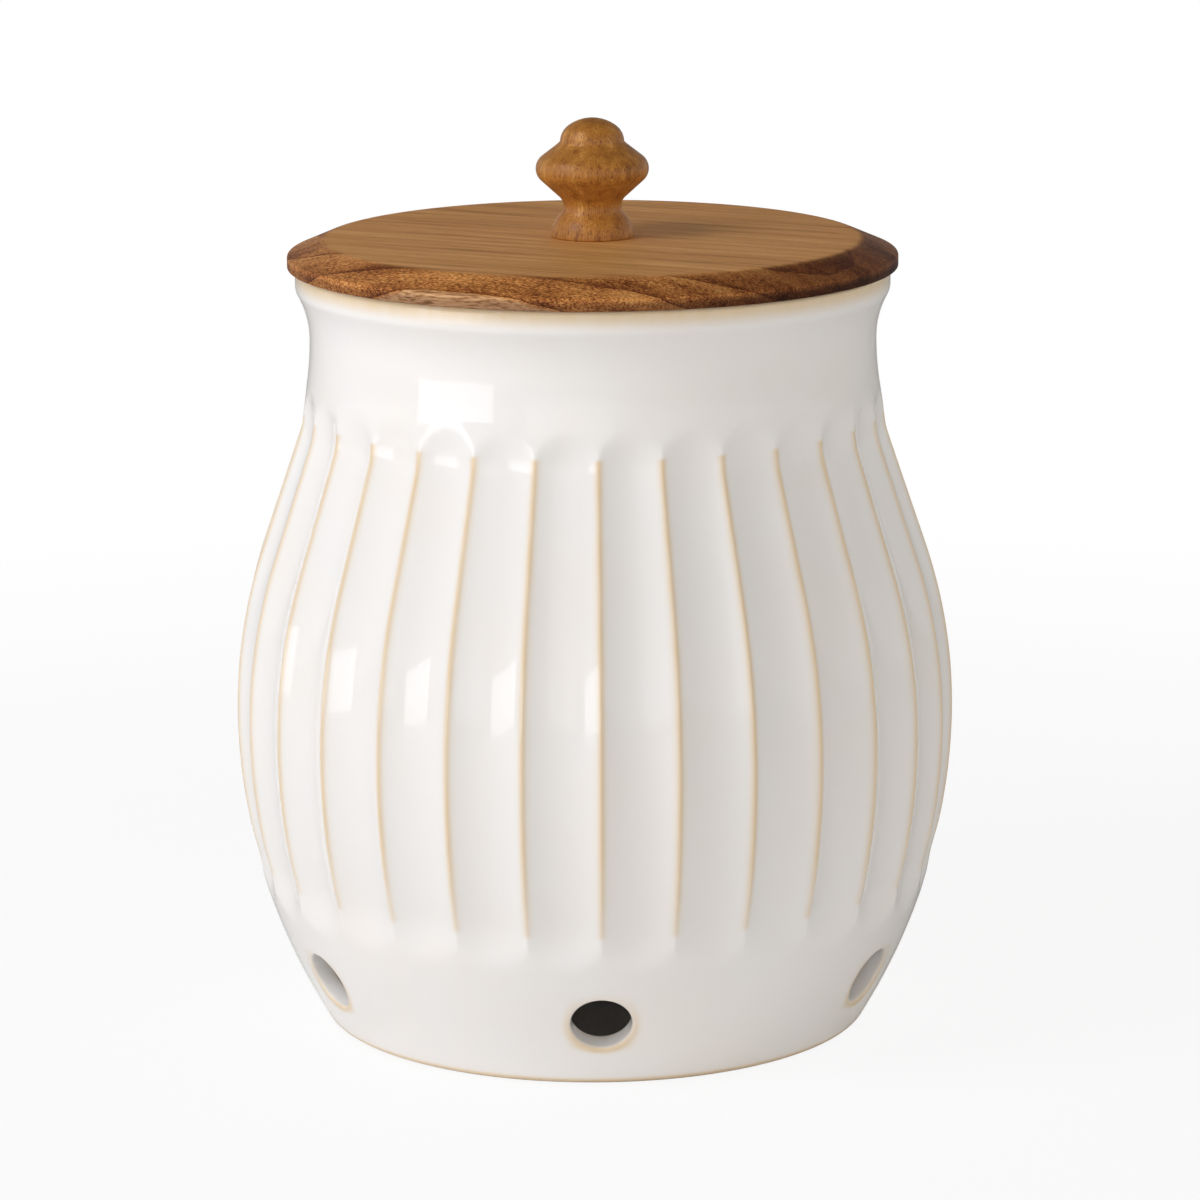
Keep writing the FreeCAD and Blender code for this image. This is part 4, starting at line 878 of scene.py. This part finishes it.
def cut_values(piece):
    """Where the lid's bevel and edge are, for its material.

    cut is 1 on both. edge is painted shade on the upright edge, and end marks where the fibres'
    ends show: darker end grain with painted shade added. Both grow towards the lid's right side as
    painted shade.
    """
    count = len(piece.data.vertices)
    place = np.zeros(count * 3)
    piece.data.vertices.foreach_get("co", place)
    place = place.reshape(-1, 3) / MM
    out = np.hypot(place[:, 0], place[:, 1])
    foot = LID_RADIUS - BEVEL_WIDTH
    cut = smooth_step(foot - BEVEL_BLEND, foot + BEVEL_BLEND, out)
    along = place[:, 0] * math.cos(GRAIN_TURN) - place[:, 1] * math.sin(GRAIN_TURN)
    add_values(piece, "cut", cut)
    # How far towards the lid's right side, where painted shade is added to the edge and the end
    # grain.
    right = smooth_step(*PAINTED_SHADE_SPAN, place[:, 0])
    start, end = (LID_EDGE - drop for drop in EDGE_BLEND)
    low = 1 - smooth_step(start, end, place[:, 2] - JAR_HEIGHT)
    # edge: painted shade on the upright edge, heavier towards the right side.
    add_values(piece, "edge", cut * low * (0.6 + 0.4 * right))
    # end: the end grain's darker colour, with painted shade that grows towards the right side.
    add_values(piece, "end", cut * (0.3 + 0.7 * right) * (along / np.maximum(out, 1.0)) ** 2)


crock = make_crock()
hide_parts("crock")
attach(crock, "jar")
dress(crock, glaze_material())

lid = make_lid()
cut_values(lid)
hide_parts("lid_board")
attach(lid, "lid")
lid_wood = lid_material()
dress(lid, lid_wood)

knob = make_knob()
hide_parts("knob")
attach(knob, "lid")
dress(knob, knob_material())

dress(nodes["lid_plug"], lid_wood)
dress(nodes["seal_ring"], plain_material("seal_silicone", rgb(226, 226, 222), rgb(214, 214, 208),
                                         0.38))
dress(nodes["knob_screw"], plain_material("screw_steel", rgb(200, 200, 202), rgb(168, 168, 170),
                                          0.3, metallic=1.0, scale=900.0))


def plain(name, shader_for):
    """A material from a function that makes its shader."""
    made, n = tree(name)
    n.finish(shader_for(n))
    return made


def make_floor():
    """A wide pale floor. The camera sees nine tenths or more of it as even white, so its shadow
    is faint."""
    data = bpy.data.meshes.new("studio_floor")
    corners = [(-1, -1), (1, -1), (1, 1), (-1, 1)]
    data.from_pydata([(x * FLOOR_REACH, y * FLOOR_REACH, FLOOR_LEVEL) for x, y in corners],
                     [], [(0, 1, 2, 3)])
    floor = bpy.data.objects.new("studio_floor", data)
    bpy.context.scene.collection.objects.link(floor)

    def shader(n):
        place = n.add("ShaderNodeTexCoord").outputs["Object"]
        out = n.add("ShaderNodeVectorMath", {"operation": "LENGTH"})
        n.put(out, "0", place)
        far = n.between(out.outputs["Value"], *FLOOR_FADE)
        matt = n.add("ShaderNodeBsdfDiffuse", Color=(0.9, 0.9, 0.9, 1.0))
        white = n.add("ShaderNodeEmission", Color=(1, 1, 1, 1), Strength=1.0)
        path = n.add("ShaderNodeLightPath").outputs["Is Camera Ray"]
        share = n.math("MULTIPLY_ADD", far, 1 - FLOOR_WHITE, FLOOR_WHITE)
        share = n.math("MULTIPLY", path, share)
        both = n.add("ShaderNodeMixShader", Fac=share)
        n.put(both, "1", matt.outputs[0])
        n.put(both, "2", white.outputs[0])
        return both.outputs[0]

    dress(floor, plain("floor_white", shader))


def make_world():
    """Soft light that is strongest low down and weaker in reflections, and white for the camera."""
    world = bpy.data.worlds.new("studio")
    bpy.context.scene.world = world
    world.use_nodes = True
    world.node_tree.nodes.clear()
    n = Nodes(world.node_tree)
    way = n.add("ShaderNodeTexCoord").outputs["Generated"]
    rise = n.add("ShaderNodeSeparateXYZ", Vector=way).outputs["Z"]
    level = n.between(rise, 0.0, AMBIENT_TOP, AMBIENT_LOW, AMBIENT_HIGH)
    soft = n.add("ShaderNodeBackground", Color=AMBIENT_COLOUR, Strength=level)
    gloss = n.add("ShaderNodeBackground", Color=GLOSS_COLOUR,
                  Strength=n.between(rise, 0.0, GLOSS_TOP, GLOSS_LOW, GLOSS_HIGH))
    white = n.add("ShaderNodeBackground", Color=(1, 1, 1, 1), Strength=1.0)
    path = n.add("ShaderNodeLightPath")
    seen = n.math("MAXIMUM", path.outputs["Is Camera Ray"], path.outputs["Is Transmission Ray"])
    lit = n.add("ShaderNodeMixShader", Fac=path.outputs["Is Glossy Ray"])
    n.put(lit, "1", soft.outputs[0])
    n.put(lit, "2", gloss.outputs[0])
    both = n.add("ShaderNodeMixShader", Fac=seen)
    n.put(both, "1", lit.outputs[0])
    n.put(both, "2", white.outputs[0])
    out = n.add("ShaderNodeOutputWorld")
    n.tree.links.new(both.outputs[0], out.inputs["Surface"])


def add_lamp(name, turn, rise, far, size, power, colour):
    """A softbox that faces the jar, at an angle left of the front and a rise above level."""
    data = bpy.data.lights.new(name, "AREA")
    data.shape = "RECTANGLE"
    data.size, data.size_y = size
    data.energy = power
    data.color = colour
    lamp = bpy.data.objects.new(name, data)
    bpy.context.scene.collection.objects.link(lamp)
    out = Vector((-math.sin(turn) * math.cos(rise), -math.cos(turn) * math.cos(rise),
                  math.sin(rise)))
    lamp.location = Vector((0, 0, LAMP_CENTRE)) + out * far
    lamp.rotation_euler = out.to_track_quat("Z", "Y").to_euler()


def make_camera():
    """The photograph's view: a long lens, a little above the jar, with the jar left of centre."""
    data = bpy.data.cameras.new("camera")
    data.lens = LENS
    data.sensor_width = 36.0
    camera = bpy.data.objects.new("camera", data)
    bpy.context.scene.collection.objects.link(camera)
    bpy.context.scene.camera = camera
    out = Vector((-math.sin(CAMERA_TURN) * math.cos(CAMERA_RISE),
                  -math.cos(CAMERA_TURN) * math.cos(CAMERA_RISE), math.sin(CAMERA_RISE)))
    right = Vector((math.cos(CAMERA_TURN), -math.sin(CAMERA_TURN), 0))
    aim = Vector((0, 0, AIM_HEIGHT)) + right * AIM_RIGHT
    camera.location = aim + out * CAMERA_FAR
    level = out.to_track_quat("Z", "Y").to_matrix().to_4x4()
    camera.rotation_euler = (level @ Matrix.Rotation(CAMERA_ROLL, 4, "Z")).to_euler()


# The camera, fitted to the photograph's view: its lens in millimetres, other lengths in metres.
LENS, CAMERA_FAR = 148.1, 1.629
CAMERA_TURN, CAMERA_RISE, CAMERA_ROLL = (math.radians(a) for a in (1.0, 12.47, -0.25))
AIM_HEIGHT, AIM_RIGHT = 0.138, 0.0019

# The world's strength at level, higher up, and how steep a rise that is; and its two colours.
AMBIENT_LOW, AMBIENT_HIGH, AMBIENT_TOP = 2.0, 0.02, 0.7
GLOSS_LOW, GLOSS_HIGH, GLOSS_TOP = 0.6, 0.1, 0.5
AMBIENT_COLOUR, GLOSS_COLOUR = (1.0, 0.975, 0.93, 1.0), (1.0, 0.99, 0.98, 1.0)

# The floor's half width, its level, how far out it fades to white, and the white's least share.
FLOOR_REACH, FLOOR_LEVEL, FLOOR_FADE, FLOOR_WHITE = 6.0, -0.0003, (0.25, 0.9), 0.9

# Each lamp's name, degrees left of the front and above level, distance from a point in the jar,
# size, power in watts and colour.
LAMP_CENTRE, COOL, NEUTRAL = 0.13, (0.96, 1.0, 1.07), (1, 1, 1)
LAMPS = (("key", 62, 42, 1.5, (0.6, 0.6), 7.5, COOL),
         ("low", 56, 0, 1.6, (0.95, 0.38), 2.6, COOL),
         ("front", 10, 12, 2.0, (1.2, 1.0), 2.2, NEUTRAL))

make_floor()
make_world()
for name, left, above, *rest in LAMPS:
    add_lamp(name, math.radians(left), math.radians(above), *rest)
make_camera()
bpy.context.scene.view_settings.view_transform = "Standard"
